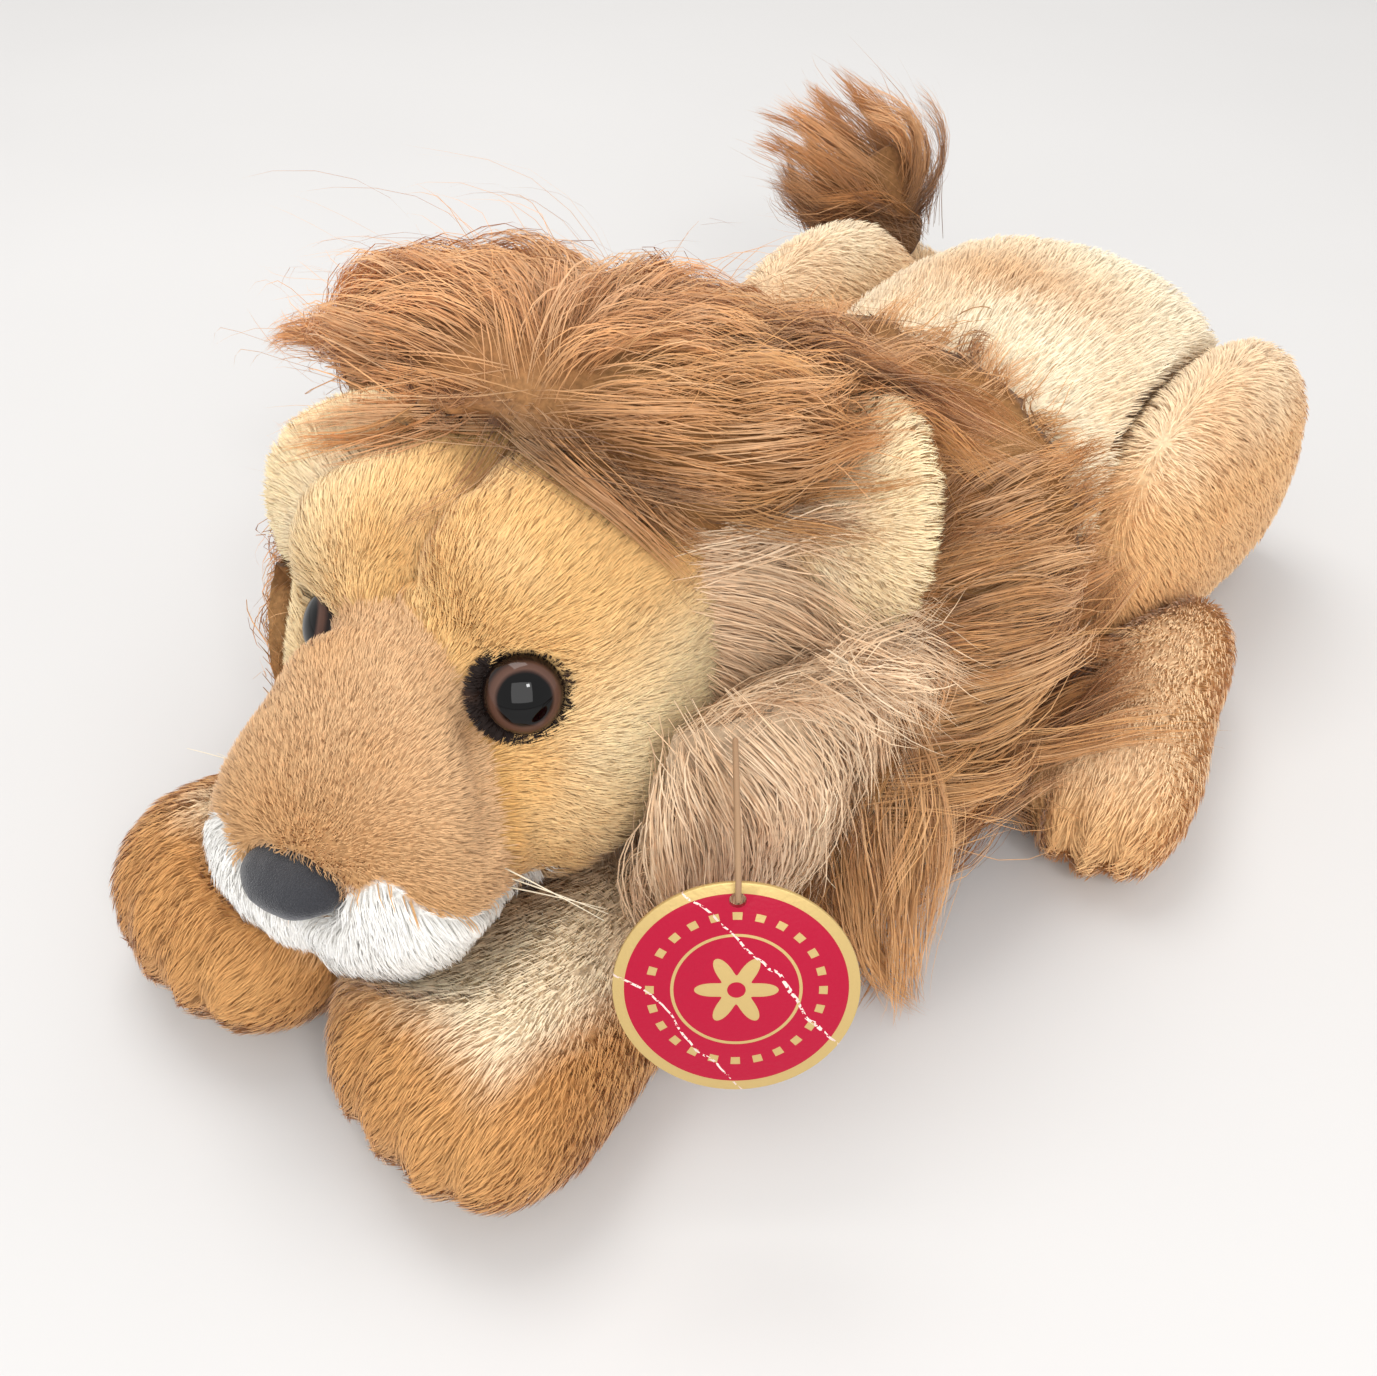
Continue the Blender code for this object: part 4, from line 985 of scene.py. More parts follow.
@dataclass
class Face(Assembly):
    """The head with its brow, muzzle and chin."""

    voxel: float = 0.0024
    inset: float = 0.0020
    groove_width: float = 0.0065
    groove_depth: float = 0.0085
    seam_width: float = 0.0045
    seam_depth: float = 0.0020
    panel_rise: float = 0.0022
    lip_width: float = 0.003
    lip_depth: float = 0.0022
    eye_hole: float = 0.0088
    nose_hole: float = 0.0095
    overlap: float = 0.014
    nodes: tuple = ("head", "muzzle", "chin")
    sealed: tuple = ("eye_liner_left", "eye_liner_right", "eye_washer_left", "eye_washer_right",
                     "eye_base_left", "eye_base_right")
    # On both sides: brow, inner corner of the eye, cheek and lip
    paired: tuple = (Bump(0.020, 0.048, 0.038, 0.011, 0.0042, -0.003),
                     Bump(0.024, 0.066, 0.014, 0.008, -0.0024),
                     Bump(0.044, 0.044, -0.010, 0.014, 0.0022),
                     Bump(0.017, 0.098, -0.012, 0.010, 0.0015))
    # On the lion's right: beside the bridge and above the eye
    single: tuple = (Bump(-0.015, 0.073, 0.020, 0.0070, 0.0050),
                     Bump(-0.026, 0.052, 0.032, 0.010, 0.0036))

    def build(self) -> None:
        """Makes the head's skin with its brow, sockets and cheeks."""
        skin = skin_of("head_skin", list(self.nodes + self.sealed), self.voxel, 0.0, 8)
        at = HEAD.inside(skin.points)
        amount = np.full(len(at), -self.inset)
        middle = at[:, 0] + np.interp(at[:, 1], (0.040, 0.062), (0.001, 0.007))
        groove = np.exp(-(middle / self.groove_width) ** 2) * smooth(at[:, 2], 0.024, 0.034)
        amount -= self.groove_depth * groove * smooth(at[:, 1], 0.010, 0.030)
        seam = self.seam_depth * np.exp(-(np.abs(self.bridge(at)) / self.seam_width) ** 2)
        amount -= seam * (at[:, 2] > -0.006) * smooth(at[:, 1], 0.050, 0.060)
        panel = self.panel_rise * smooth(self.bridge(at), 0.001, 0.010)
        amount += panel * smooth(at[:, 2], -0.006, 0.012)
        for sign in (1, -1):
            for bump in self.paired:
                amount += bump.lift(at, sign)
        for bump in self.single:
            amount += bump.lift(at)
        lips = np.exp(-(at[:, 0] / self.lip_width) ** 2) * smooth(at[:, 1], 0.085, 0.10)
        amount -= self.lip_depth * lips * (at[:, 2] < -0.012)
        skin.raise_by(amount)
        self.add("head", skin)

    def region(self, at: Array) -> Array:
        """Numbers the cloth panel at each place: 0 head, 1 bridge of the nose, 2 white lips."""
        left, forward, up = np.abs(at[:, 0]), at[:, 1], at[:, 2]
        wave = 0.0010 * noise(at, 0.004, 9)
        line = -0.010 - (forward - 0.104) * math.tan(math.radians(-20.0)) + wave
        front = 0.0100 * np.exp(-((left - 0.020) / 0.0075) ** 2) * smooth(forward, 0.088, 0.099)
        front -= 0.004 * smooth(-left, -0.014, -0.008)
        low = (up <= line + front) & (forward > 0.066)
        return np.where(low, 2, np.where(self.bridge(at) + wave > 0, 1, 0))

    @staticmethod
    def bridge(at: Array) -> Array:
        """How far inside the tan panel's edge a place is, below zero outside."""
        left = np.abs(at[:, 0] + 0.004)
        edge = np.interp(left, (0, 0.010, 0.022, 0.031, 0.037, 0.046),
                         (0.0575, 0.0620, 0.0660, 0.0750, 0.0830, 0.0960))
        return (at[:, 1] - edge) * 0.8

    def tint(self, points: Array) -> Array:
        """The face's colours."""
        at = HEAD.inside(points)
        left, forward, up = np.abs(at[:, 0]), at[:, 1], at[:, 2]
        share = smooth(left, 0.026, 0.046) * smooth(-up, -0.034, -0.004)
        colour = mixed(FACE_GOLD, FACE_PALE, share + 0.22 * noise(points, 0.012, 3))
        colour = mixed(colour, FACE_PALE, 0.7 * smooth(-at[:, 0], 0.010, 0.026))
        colour = mixed(colour, FACE_JAW, 0.5 * smooth(-up, 0.014, 0.035))
        seam = np.exp(-(self.bridge(at) / 0.003) ** 2) * (up < 0.012)
        colour = mixed(colour, FACE_SEAM, 0.6 * seam)
        panel = self.region(at)
        tan = mixed(TAN_LIGHT, TAN_DEEP, smooth(forward, 0.080, 0.108))
        tan = mixed(tan, TAN_FLECK, 0.5 * smooth(noise(points, 0.010, 6), -0.2, 0.8))
        colour = np.where((panel == 1)[:, None], tan, colour)
        colour = np.where((panel == 2)[:, None], LIP_WHITE, colour)
        for sign in (1, -1):
            way = (at - np.array((sign * 0.0262, 0.0615, 0.0165))) * (1.0, 1.0, 1.15)
            inner = bell(at, (sign * 0.0185, 0.0705, 0.0105), 0.0026)
            far = np.linalg.norm(way, axis=1) - 0.0012 * noise(points, 0.003, 4) - 0.0030 * inner
            colour = mixed(colour, EYE_RING, 1 - smooth(far, 0.0082, 0.0094))
            colour = mixed(colour, EYE_CORNER, 0.45 * inner)
        return colour

    @staticmethod
    def hairline(at: Array) -> Array:
        """How far forward the long hair begins, for each place."""
        return np.interp(at[:, 2], (-0.03, -0.015, 0.0, 0.03), (0.050, 0.038, 0.024, 0.017))

    def cloth(self, points: Array) -> Array:
        """The face's colours, with the mane's brown behind the long hair, darkened as painted
        shade.
        """
        at = HEAD.inside(points)
        behind = smooth(self.hairline(at) - 0.012 - at[:, 1], 0.0, 0.006)
        # Behind the hairline: the mane's brown at six tenths, painted shade under the long hair
        return mixed(self.tint(points), LongMane.brown(points) * 0.6, behind)

    @staticmethod
    def flow(points: Array) -> Array:
        """Hair lies back from the nose, and down along the cheeks."""
        at = HEAD.inside(points)
        way = at - np.array((0.0, 0.118, 0.002))
        way[:, 2] -= 0.35 * np.abs(at[:, 0]) * (at[:, 2] < 0.01)
        return HEAD.along(way)

    @staticmethod
    def beard(points: Array) -> Array:
        """Longer hair low on the chin."""
        return 1 + 0.7 * smooth(-HEAD.inside(points)[:, 2], 0.016, 0.030)

    @staticmethod
    def chin_flow(points: Array) -> Array:
        """The lips' hair hangs down and a little outwards."""
        at = HEAD.inside(points)
        way = at * (6.0, 0, 0) + np.array((0.0, -0.15, -1.0))
        return HEAD.along(way)

    def dress(self) -> None:
        """Grows the face's hair and places it."""
        skin = self.skins["head"][0]
        skin.paint(self.cloth, 0.75)
        self.place(skin.obj, "head_group", "gold_plush", self.nodes, 0.8)
        at = HEAD.inside(skin.centres)
        free = skin.open_faces(self.covers("head", ("ear_left", "ear_right")), 0.006)
        for sign in (1, -1):
            eye = np.array(EYE_AT) * (sign, 1, 1)
            free *= np.linalg.norm(at - eye, axis=1) > self.eye_hole
        nose = (at - (0, 0.1065, -0.007)) * (0.8, 1, 1.6)
        free *= np.linalg.norm(nose, axis=1) > self.nose_hole
        free *= smooth(at[:, 1] - self.hairline(at) + self.overlap, 0.0, 0.003)
        panel = self.region(at)
        plans = (
            ("head_pile", "gold_plush", Pile(62000, 0.0048, 0.00026), self.flow),
            ("muzzle_pile", "tan_plush", Pile(24000, 0.0027, 0.00023, 0.85, 0.5, 0.25, 0.0012),
             self.flow),
            ("chin_pile", "white_plush", Pile(15000, 0.0062, 0.00028, 0.5, 0.2, 0.45,
                                              contrast=0.05, root=0.85), self.chin_flow))
        for number, (key, slot, pile, flow) in enumerate(plans):
            hair = short_pile(key, skin, pile, flow, self.tint, free * (panel == number),
                              11 + number, self.beard)
            self.place(hair, "head_group", slot)
        self.fringe(skin, at)

    def fringe(self, skin: Skin, at: Array) -> None:
        """Grows the pale hair behind the cheeks and the brown hair at the nape.

        Args:
            skin: The head's skin.
            at: Its faces' middles as left, forward and up.
        """
        edge = self.hairline(at)
        band = smooth(edge - at[:, 1], 0.0, 0.004) * smooth(at[:, 1] - edge + 0.016, 0.0, 0.006)
        band *= smooth(np.abs(at[:, 0]), 0.022, 0.030) * smooth(-at[:, 2], -0.046, -0.040)
        band *= np.where(at[:, 0] < 0, 0.5 * smooth(at[:, 2], 0.000, 0.010), 1.0)
        mane = Mane(620, 14000, 0.046, 0.00026, rise=0.9, droop=0.14, gather=0.40, wave=0.10,
                    layers=0.020, comb=0.0, pale=0.35, root=1.02, tip=1.18)
        hair = long_hair("cheek_fringe", skin, mane, LongMane.ruff_flow, LongMane.taupe, band,
                         self.whole(), 14, self.fringe_length)
        self.place(hair, "head_group", "taupe_hair")
        nape = smooth(edge - 0.010 - at[:, 1], 0.0, 0.005) * smooth(at[:, 2], -0.034, -0.028)
        nape *= skin.open_faces(self.covers("head", ("ear_left", "ear_right")), 0.003)
        hair = long_hair("nape_hair", skin, Mane(200, 3500, 0.032, 0.00030),
                         LongMane(self.skins).neck_flow, LongMane.brown, nape, self.whole(), 15)
        self.place(hair, "head_group", "brown_hair")

    @staticmethod
    def fringe_length(points: Array) -> Array:
        """Shorter on the lion's right."""
        return np.where(HEAD.inside(points)[:, 0] < 0, 0.6, 1.0)


@dataclass
class Ears(Assembly):
    """Two folded ears."""

    voxel: float = 0.0016
    inset: float = 0.0010
    roots: tuple = ((0.052, -0.003, 0.026), (-0.019, 0.043, 0.026))
    lean: tuple = (0.0007, -0.0015, 0.0011)
    fold_at: float = 0.016

    def build(self) -> None:
        """Makes the ears' skins."""
        for side in Side:
            key = f"ear_{side.word}"
            self.add(key, skin_of(f"ear_skin_{side.word}", [key], self.voxel, self.inset, 4))

    def tint(self, root: Array, points: Array) -> Array:
        """Cream inside, with a paler fold."""
        far = np.linalg.norm(points - root, axis=1)
        fold = (noise(points, 0.012, 21) * 0.004 + far - self.fold_at) / 0.006
        colour = mixed(EAR_CREAM, EAR_EDGE, 0.7 * (1 - smooth(far, 0.010, 0.026)))
        return mixed(colour, EAR_FOLD, 0.6 * np.exp(-fold ** 2))

    def dress(self) -> None:
        """Grows the ears' hair and places it."""
        for index, side in enumerate(Side):
            key, body = f"ear_{side.word}", f"{side.word}_ear"
            skin, root = self.skins[key][0], HEAD.outside(*self.roots[index])
            tint = partial(self.tint, root)
            skin.paint(tint, 0.8)
            self.place(skin.obj, body, "gold_plush", (key,), 0.5)
            free = skin.open_faces(self.covers(key, ("crown", "collar")), 0.003)
            hair = short_pile(f"ear_pile_{side.word}", skin, Pile(9000, 0.0052, clump=0.4),
                              partial(away, root - np.array(self.lean)), tint, free, 21 + index)
            self.place(hair, body, "gold_plush")


@dataclass
class Body(Assembly):
    """The torso."""

    def build(self) -> None:
        """Makes the torso's skin."""
        skin = skin_of("torso_skin", ["torso"], 0.0032, 0.0030, 8)
        self.add("torso", puffed(skin, 0.0012))

    @staticmethod
    def tint(points: Array) -> Array:
        """Cream back, golden sides and a painted shade streak where the pile lies the other way."""
        colour = mixed(SIDE_GOLD, BACK_CREAM, smooth(points[:, 2], 0.03, 0.085))
        colour = mixed(colour, BACK_FLECK, 0.4 * smooth(noise(points, 0.035, 31), 0.05, 0.8))
        # A darker streak on the back: painted shade where the pile lies the other way
        streak = bell(points * (0.35, 1, 1), (-0.003, 0.105, 0.092), 0.009)
        return mixed(colour, BACK_NAP_SHADE, 0.75 * streak)

    @staticmethod
    def flow(points: Array) -> Array:
        """Towards the tail and down the sides."""
        return points * (4.0, 0.0, 0.0) + (0.0, 1.0, -0.35)

    def dress(self) -> None:
        """Grows the torso's hair, thinner underneath, and places it."""
        skin = self.skins["torso"][0]
        skin.paint(self.tint, 0.8)
        self.place(skin.obj, "body", "cream_plush", ("torso",), 0.8)
        free = skin.open_faces(self.covers("torso"), 0.006) * (skin.centres[:, 2] > 0.004)
        free *= np.where(skin.faces_out[:, 2] < -0.75, 0.3, 1.0)
        hair = short_pile("torso_pile", skin, Pile(40000, 0.0056, 0.00037), self.flow, self.tint,
                          free, 31)
        self.place(hair, "body", "cream_plush")


@dataclass
class Limb(Assembly):
    """What forelegs and hind legs share."""

    def cover(self, side: Side, key: str, body: str, slot: str, node: str, pile: Pile,
              flow: Rows, tint: Rows, seed: int) -> None:
        """Grows a limb's hair and places it.

        Args:
            side: The limb's side.
            key: The name of its skin.
            body: The body that it moves with.
            slot: The record's material slot.
            node: The solid that its skin replaces.
            pile: How its hair grows.
            flow: The way it is brushed.
            tint: Its colours.
            seed: Picks the chance.
        """
        skin = self.skins[key][0]
        skin.paint(tint, 0.78)
        self.place(skin.obj, body, slot, (node,), 0.8)
        free = skin.open_faces(self.covers(key), 0.005) * (skin.centres[:, 2] > 0.0025)
        hair = short_pile(f"{key}_pile", skin, pile, flow, tint, free, seed + side.value)
        self.place(hair, body, slot)

    @staticmethod
    def toes(skin: Skin, tip: tuple, ahead: tuple, width: float, depth: float) -> None:
        """Draws the creases between four toes into a paw.

        Args:
            skin: The paw's skin.
            tip: The middle of the paw's front.
            ahead: The way that the toes point.
            width: The distance between creases.
            depth: How deep they are drawn in.
        """
        forward = unit(np.array(ahead, float)[None])[0]
        across = np.cross(forward, UP)
        rel = skin.points - np.array(tip)
        near = smooth(rel @ forward, -0.024, -0.008)
        amount = np.zeros(len(rel))
        for place in (-1, 0, 1):
            lane = rel @ across - place * width
            amount -= depth * np.exp(-(lane / 0.0022) ** 2) * near * smooth(-rel[:, 2], -0.018, 0.0)
        for place in (-1.5, -0.5, 0.5, 1.5):
            lane = rel @ across - place * width
            amount += 0.4 * depth * np.exp(-(lane / 0.004) ** 2) * near
        skin.raise_by(amount)


@dataclass
class Forelegs(Limb):
    """Two forelegs with broad paws."""

    tips: tuple = ((0.036, -0.158, 0.024), (-0.036, -0.164, 0.022))
    toe: float = 0.0125

    def build(self) -> None:
        """Makes the forelegs' skins with their toes."""
        for index, side in enumerate(Side):
            key = f"foreleg_{side.word}"
            skin = skin_of(f"foreleg_skin_{side.word}", [key], 0.0028, 0.0026, 6)
            self.toes(skin, self.tips[index], (0.0, -1.0, 0.0), self.toe, 0.0013)
            self.add(key, puffed(skin, 0.001))

    def tint(self, side: Side, tip: tuple, points: Array) -> Array:
        """Golden brown, with painted shade in the creases, painted light on the inner panel and a
        painted rim light below.
        """
        left, back, up = points.T
        colour = mixed(PAW_LIGHT, PAW_DEEP, 0.5 + 0.5 * noise(points, 0.02, 41))
        # Painted shade in the creases between the toes
        lanes = np.stack([np.exp(-((left - tip[0] - place * self.toe) / 0.0014) ** 2)
                          for place in (-1, 0, 1)]).max(0)
        lanes *= smooth(-back, -tip[1] - 0.022, -tip[1] - 0.008)
        colour = mixed(colour, TOE_CREASE_SHADE, 0.15 * lanes)
        # A beige inner panel under the chin, lightened as painted light into the chin's shadow
        inner = smooth(back, -0.152, -0.138) * smooth(up, 0.026, 0.038)
        inner *= smooth(0.056 - side.value * left, 0.0, 0.010)
        colour = mixed(colour, LEG_INNER_LIT, 0.95 * inner)
        # Paler along the bottom: a painted rim light
        return mixed(colour, PAW_RIM_LIGHT, 0.6 * smooth(-up, -0.016, -0.002))

    @staticmethod
    def flow(tip: tuple, points: Array) -> Array:
        """Towards the toes, which spread."""
        return (points - tip) * (6.0, 0.0, 0.0) + (0.0, -1.0, -0.25)

    def dress(self) -> None:
        """Grows the forelegs' hair and places it."""
        for side, tip in zip(Side, self.tips):
            key = f"foreleg_{side.word}"
            self.cover(side, key, f"{side.word}_foreleg", "paw_plush", key,
                       Pile(32000, 0.0056, 0.00034), partial(self.flow, tip),
                       partial(self.tint, side, tip), 41)


@dataclass
class HindLegs(Limb):
    """Two haunches with their feet."""

    tips: tuple = ((0.089, 0.004, 0.020), (-0.089, 0.004, 0.020))

    def build(self) -> None:
        """Makes the skins of thighs and feet."""
        for side, tip in zip(Side, self.tips):
            word = side.word
            skin = skin_of(f"thigh_skin_{word}", [f"thigh_{word}"], 0.0030, 0.0026, 6)
            self.add(f"thigh_{word}", puffed(skin, 0.001))
            skin = skin_of(f"foot_skin_{word}", [f"hind_foot_{word}"], 0.0026, 0.0024, 6)
            self.toes(skin, tip, (0.22 * side.value, -0.97, 0.0), 0.0095, 0.0018)
            self.add(f"foot_{word}", skin)

    @staticmethod
    def thigh_tint(points: Array) -> Array:
        """Golden with a pale crest."""
        colour = mixed(THIGH_GOLD, THIGH_CREST, smooth(points[:, 2], 0.056, 0.082))
        return mixed(colour, THIGH_FLECK, 0.6 * smooth(noise(points, 0.03, 51), -0.1, 0.9))

    @staticmethod
    def foot_tint(points: Array) -> Array:
        """Golden brown with a pale top."""
        colour = mixed(FOOT_LIGHT, FOOT_DEEP, 0.5 + 0.5 * noise(points, 0.02, 52))
        return mixed(colour, FOOT_TOP, 0.6 * smooth(points[:, 2], 0.022, 0.04))

    def dress(self) -> None:
        """Grows the hind legs' hair and places it."""
        for side in Side:
            word, body = side.word, f"{side.word}_hind_leg"
            self.cover(side, f"thigh_{word}", body, "cream_plush", f"thigh_{word}",
                       Pile(21000, 0.0056, 0.00036), toward(0.0, 0.45, -0.8), self.thigh_tint, 51)
            self.cover(side, f"foot_{word}", body, "paw_plush", f"hind_foot_{word}",
                       Pile(13000, 0.0056, 0.00037), toward(0.25 * side.value, -1.0, -0.25),
                       self.foot_tint, 55)


@dataclass
class Tail(Assembly):
    """The tail with its tuft."""

    base: tuple = (-0.082, 0.158, 0.058)
    root_height: float = 0.030

    def build(self) -> None:
        """Makes the skins of stalk and tuft."""
        self.add("tail", skin_of("tail_skin", ["tail_stalk"], 0.0018, 0.0012, 4))
        self.add("tuft", skin_of("tuft_skin", ["tail_tuft"], 0.0022, 0.0085, 6))

    @staticmethod
    def tint(points: Array) -> Array:
        """The tuft is dark at its foot and brown above."""
        colour = mixed(TUFT_DARK, TUFT_BROWN, smooth(points[:, 2], 0.060, 0.078))
        return mixed(colour, TUFT_FLECK, 0.5 * smooth(noise(points, 0.008, 62), 0, 1))

    def flare(self, points: Array) -> Array:
        """Up from the tuft's foot, then over to the lion's right."""
        way = (points - np.array(self.base)) * (1.0, 1.0, 0.6)
        rise = np.clip(points[:, 2] - self.base[2], 0, 0.05)
        way[:, 0] -= 0.003 + rise
        way[:, 1] -= rise * 0.5
        way[:, 2] += 0.014 - rise * 0.25
        return way

    def dress(self) -> None:
        """Grows the tail's hair and places it."""
        skin = self.skins["tail"][0]
        skin.paint(Body.tint, 0.8)
        self.place(skin.obj, "tail", "cream_plush", ("tail_stalk",), 0.7)
        free = skin.open_faces(self.covers("tail"), 0.004)
        hair = short_pile("tail_pile", skin, Pile(7000, 0.0054, 0.00036),
                          toward(-1.0, 0.3, 0.25), Body.tint, free, 61)
        self.place(hair, "tail", "cream_plush")
        skin = self.skins["tuft"][0]
        skin.paint(self.tint, 0.35)
        self.place(skin.obj, "tail", "dark_hair", ("tail_tuft",), 0.5)
        low = (skin.centres[:, 2] < self.base[2] + self.root_height).astype(float)
        locks = Mane(110, 5000, 0.042, 0.00020, rise=0.5, droop=0.0, wave=0.80, spread=0.0034,
                     gather=0.62, layers=0.016, comb=0.1)
        strays = Mane(150, 450, 0.048, 0.00014, rise=0.3, droop=0.0, wave=0.7, gather=0.1,
                      layers=0.020, comb=0.0)
        for name, mane, seed in (("tuft_hair", locks, 63), ("tuft_strays", strays, 64)):
            hair = long_hair(name, skin, mane, self.flare, self.tint, low, skin.tree(), seed)
            self.place(hair, "tail", "dark_hair")


@dataclass(frozen=True)
class Cloth:
    """The cloth that one part of the mane grows from, and what it stands for."""

    node: str
    body: str = "body"
    slot: str = "brown_hair"
    voxel: float = 0.0026
    inset: float = 0.0045
    # How much of the hair's colour the cloth keeps, darkened as painted shade under the hair
    shade: float = 0.45
    reach: float = 0.004
    shift: tuple = (0.0, 0.0, 0.0)


MANE_CLOTHS = {
    "crown": Cloth("mane_crown", "head_group", voxel=0.0030, inset=0.0060),
    "collar": Cloth("mane_collar", voxel=0.0034, inset=0.0060),
    "chest": Cloth("mane_chest"),
    "ruff_left": Cloth("cheek_ruff_left", slot="taupe_hair", shade=0.6, reach=0.0015),
    "ruff_right": Cloth("cheek_ruff_right", slot="taupe_hair", inset=0.0070, reach=0.0015,
                        shift=(0.005, 0.004, 0.003)),
}
MANE_STRAYS = Mane(150, 300, 0.060, 0.00014, rise=1.2, wave=0.5, layers=0.030, comb=0.3,
                   gather=0.1, spread=0.006)


@dataclass
class LongMane(Assembly):
    """The hair on the crown, round the neck, under the chin and behind the cheeks."""

    whorl: tuple = (0.007, 0.026, 0.058)
    face: tuple = (-0.020, -0.105, 0.058)

    def build(self) -> None:
        """Makes the cloth that the long hair grows from."""
        for key, cloth in MANE_CLOTHS.items():
            skin = skin_of(f"{key}_skin", [cloth.node], cloth.voxel, cloth.inset, 6)
            if any(cloth.shift):
                skin.move(np.array(cloth.shift))
            self.add(key, skin)

    @staticmethod
    def brown(points: Array) -> Array:
        """Warm brown with lighter and darker locks, and painted shade on the lion's left."""
        colour = mixed(MANE_BROWN, MANE_LIGHT, 0.5 + 0.7 * noise(points, 0.011, 71))
        colour = mixed(colour, MANE_DARK, 0.7 * smooth(noise(points, 0.014, 72), 0.3, 0.9))
        left, forward, up = HEAD.inside(points).T
        rim = smooth(forward, 0.018, 0.030) * smooth(left, -0.006, 0.004) * smooth(up, 0.03, 0.04)
        # Painted shade over the mane on the lion's left side
        colour = colour * (1 - smooth(left, 0.002, 0.032)[:, None] * (0.24, 0.28, 0.36))
        return mixed(colour, MANE_RIM, 0.6 * rim)

    @staticmethod
    def taupe(points: Array) -> Array:
        """Grey beige with pale streaks."""
        colour = mixed(TAUPE, TAUPE_LIGHT, 0.5 + 0.7 * noise(points, 0.008, 73))
        return mixed(colour, TAUPE_DARK, 0.5 * smooth(noise(points, 0.012, 74), 0.3, 0.9))

    def crown_flow(self, points: Array) -> Array:
        """Away from the whorl above the forehead, and sideways along the hairline."""
        way = HEAD.inside(points) - np.array(self.whorl)
        share = 0.75 * smooth(np.abs(way[:, 0]), 0.002, 0.020)[:, None]
        sweep = np.where(way[:, :1] > 0, (0.87, -0.48, -0.08), (-0.90, 0.10, 0.02))
        way[:, 1] = np.where(way[:, 1] > 0, way[:, 1] * 0.2, way[:, 1])
        return unit(HEAD.along(unit(way) * (1 - share) + sweep * share))

    @staticmethod
    def ruff_flow(points: Array) -> Array:
        """Away from the middle of the face, and forwards and down below it."""
        way = unit(points - np.array((-0.012, -0.092, 0.106)))
        low = smooth(-points[:, 2], -0.082, -0.062)[:, None]
        return unit(way + low * (-0.10, -0.55, -0.55))

    def neck_flow(self, points: Array) -> Array:
        """Away from the face, towards the back."""
        way = unit(points - np.array(self.face))
        way[:, 1] += 0.35
        return unit(way)

    @staticmethod
    def trim(points: Array) -> Array:
        """Shorter hair towards the back, along the hairline and above the left ear."""
        left, forward, up = HEAD.inside(points).T
        ear = smooth(left, 0.010, 0.024) * smooth(up, 0.030, 0.038)
        ear *= smooth(-forward, -0.034, -0.022) * smooth(forward, -0.022, -0.012)
        front = smooth(forward, 0.022, 0.036) * smooth(up, 0.030, 0.040)
        back = smooth(points[:, 1], 0.000, 0.050) * (points[:, 2] < 0.095)
        return (1 - 0.5 * back) * (1 - 0.35 * front) * (1 - 0.42 * ear)

    @staticmethod
    def room(key: str, name: str, skin: Skin) -> Array:
        """How much of one plan's hair may grow on each triangle, by where it lies.

        Args:
            key: The cloth's name.
            name: The piece of hair.
            skin: The cloth's skin.

        Returns:
            A share for each triangle.
        """
        at, centres = HEAD.inside(skin.centres), skin.centres
        share = np.ones(len(at))
        if key == "crown":
            share *= np.where(at[:, 0] > 0.020, smooth(at[:, 2], 0.032, 0.042), 1.0)
            brow = (at[:, 0] < -0.004) & (at[:, 1] > 0.004)
            share *= np.where(brow, smooth(at[:, 2], 0.050, 0.058), 1.0)
        if name == "low_wisps":
            share *= bell(centres, (0.062, -0.052, 0.045), 0.014)
        if key == "collar":
            share *= smooth(-centres[:, 1], -0.062, -0.050)
        return share

    def dress(self) -> None:
        """Grows the long hair and places it."""
        wisp_flow, fall_flow = toward(-0.60, -0.20, -0.75), toward(0.55, -0.35, -0.76)
        plans = (
            ("crown", "crown_hair_low", Mane(560, 14200, 0.042, 0.00025), self.crown_flow, 81),
            ("crown", "crown_hair_top", Mane(240, 8200, 0.054, 0.00023, wave=0.26, layers=0.015,
                                             rise=0.6), self.crown_flow, 82),
            ("collar", "collar_hair_low", Mane(660, 14200, 0.042, 0.00027), self.neck_flow, 83),
            ("collar", "collar_hair_top", Mane(260, 8200, 0.054, 0.00024, wave=0.26, layers=0.015,
                                               rise=0.6), self.neck_flow, 84),
            ("chest", "chest_hair", Mane(120, 1500, 0.022), self.neck_flow, 85),
            ("ruff_left", "ruff_hair_left", Mane(420, 10500, 0.032, 0.00026, droop=0.22, root=0.95,
                                                 tip=1.18, rise=0.4, gather=0.40, wave=0.10,
                                                 layers=0.007, pale=0.35), self.ruff_flow, 86),
            ("ruff_right", "ruff_hair_right", Mane(150, 2800, 0.026, 0.00024, droop=0.15,
                                                   layers=0.004, gather=0.35), wisp_flow, 87),
            ("collar", "low_wisps", Mane(70, 1800, 0.046, 0.00022, rise=0.7, droop=0.25, wave=0.3,
                                         layers=0.014, comb=0.5), fall_flow, 90),
            ("crown", "crown_strays", MANE_STRAYS, self.crown_flow, 88),
            ("collar", "collar_strays", MANE_STRAYS, self.neck_flow, 89))
        done, hug = set(), self.whole()
        for key, name, mane, flow, seed in plans:
            skin, cloth = self.skins[key][0], MANE_CLOTHS[key]
            tint = self.taupe if key == "ruff_left" else self.brown
            if key not in done:
                done.add(key)
                skin.paint(tint, cloth.shade)
                self.place(skin.obj, cloth.body, cloth.slot, (cloth.node,), 0.5)
            free = skin.open_faces(self.covers(key), cloth.reach) * (skin.centres[:, 2] > 0.006)
            free *= self.room(key, name, skin)
            hair = long_hair(name, skin, mane, flow, tint, free, hug, seed, self.trim)
            self.place(hair, cloth.body, cloth.slot)


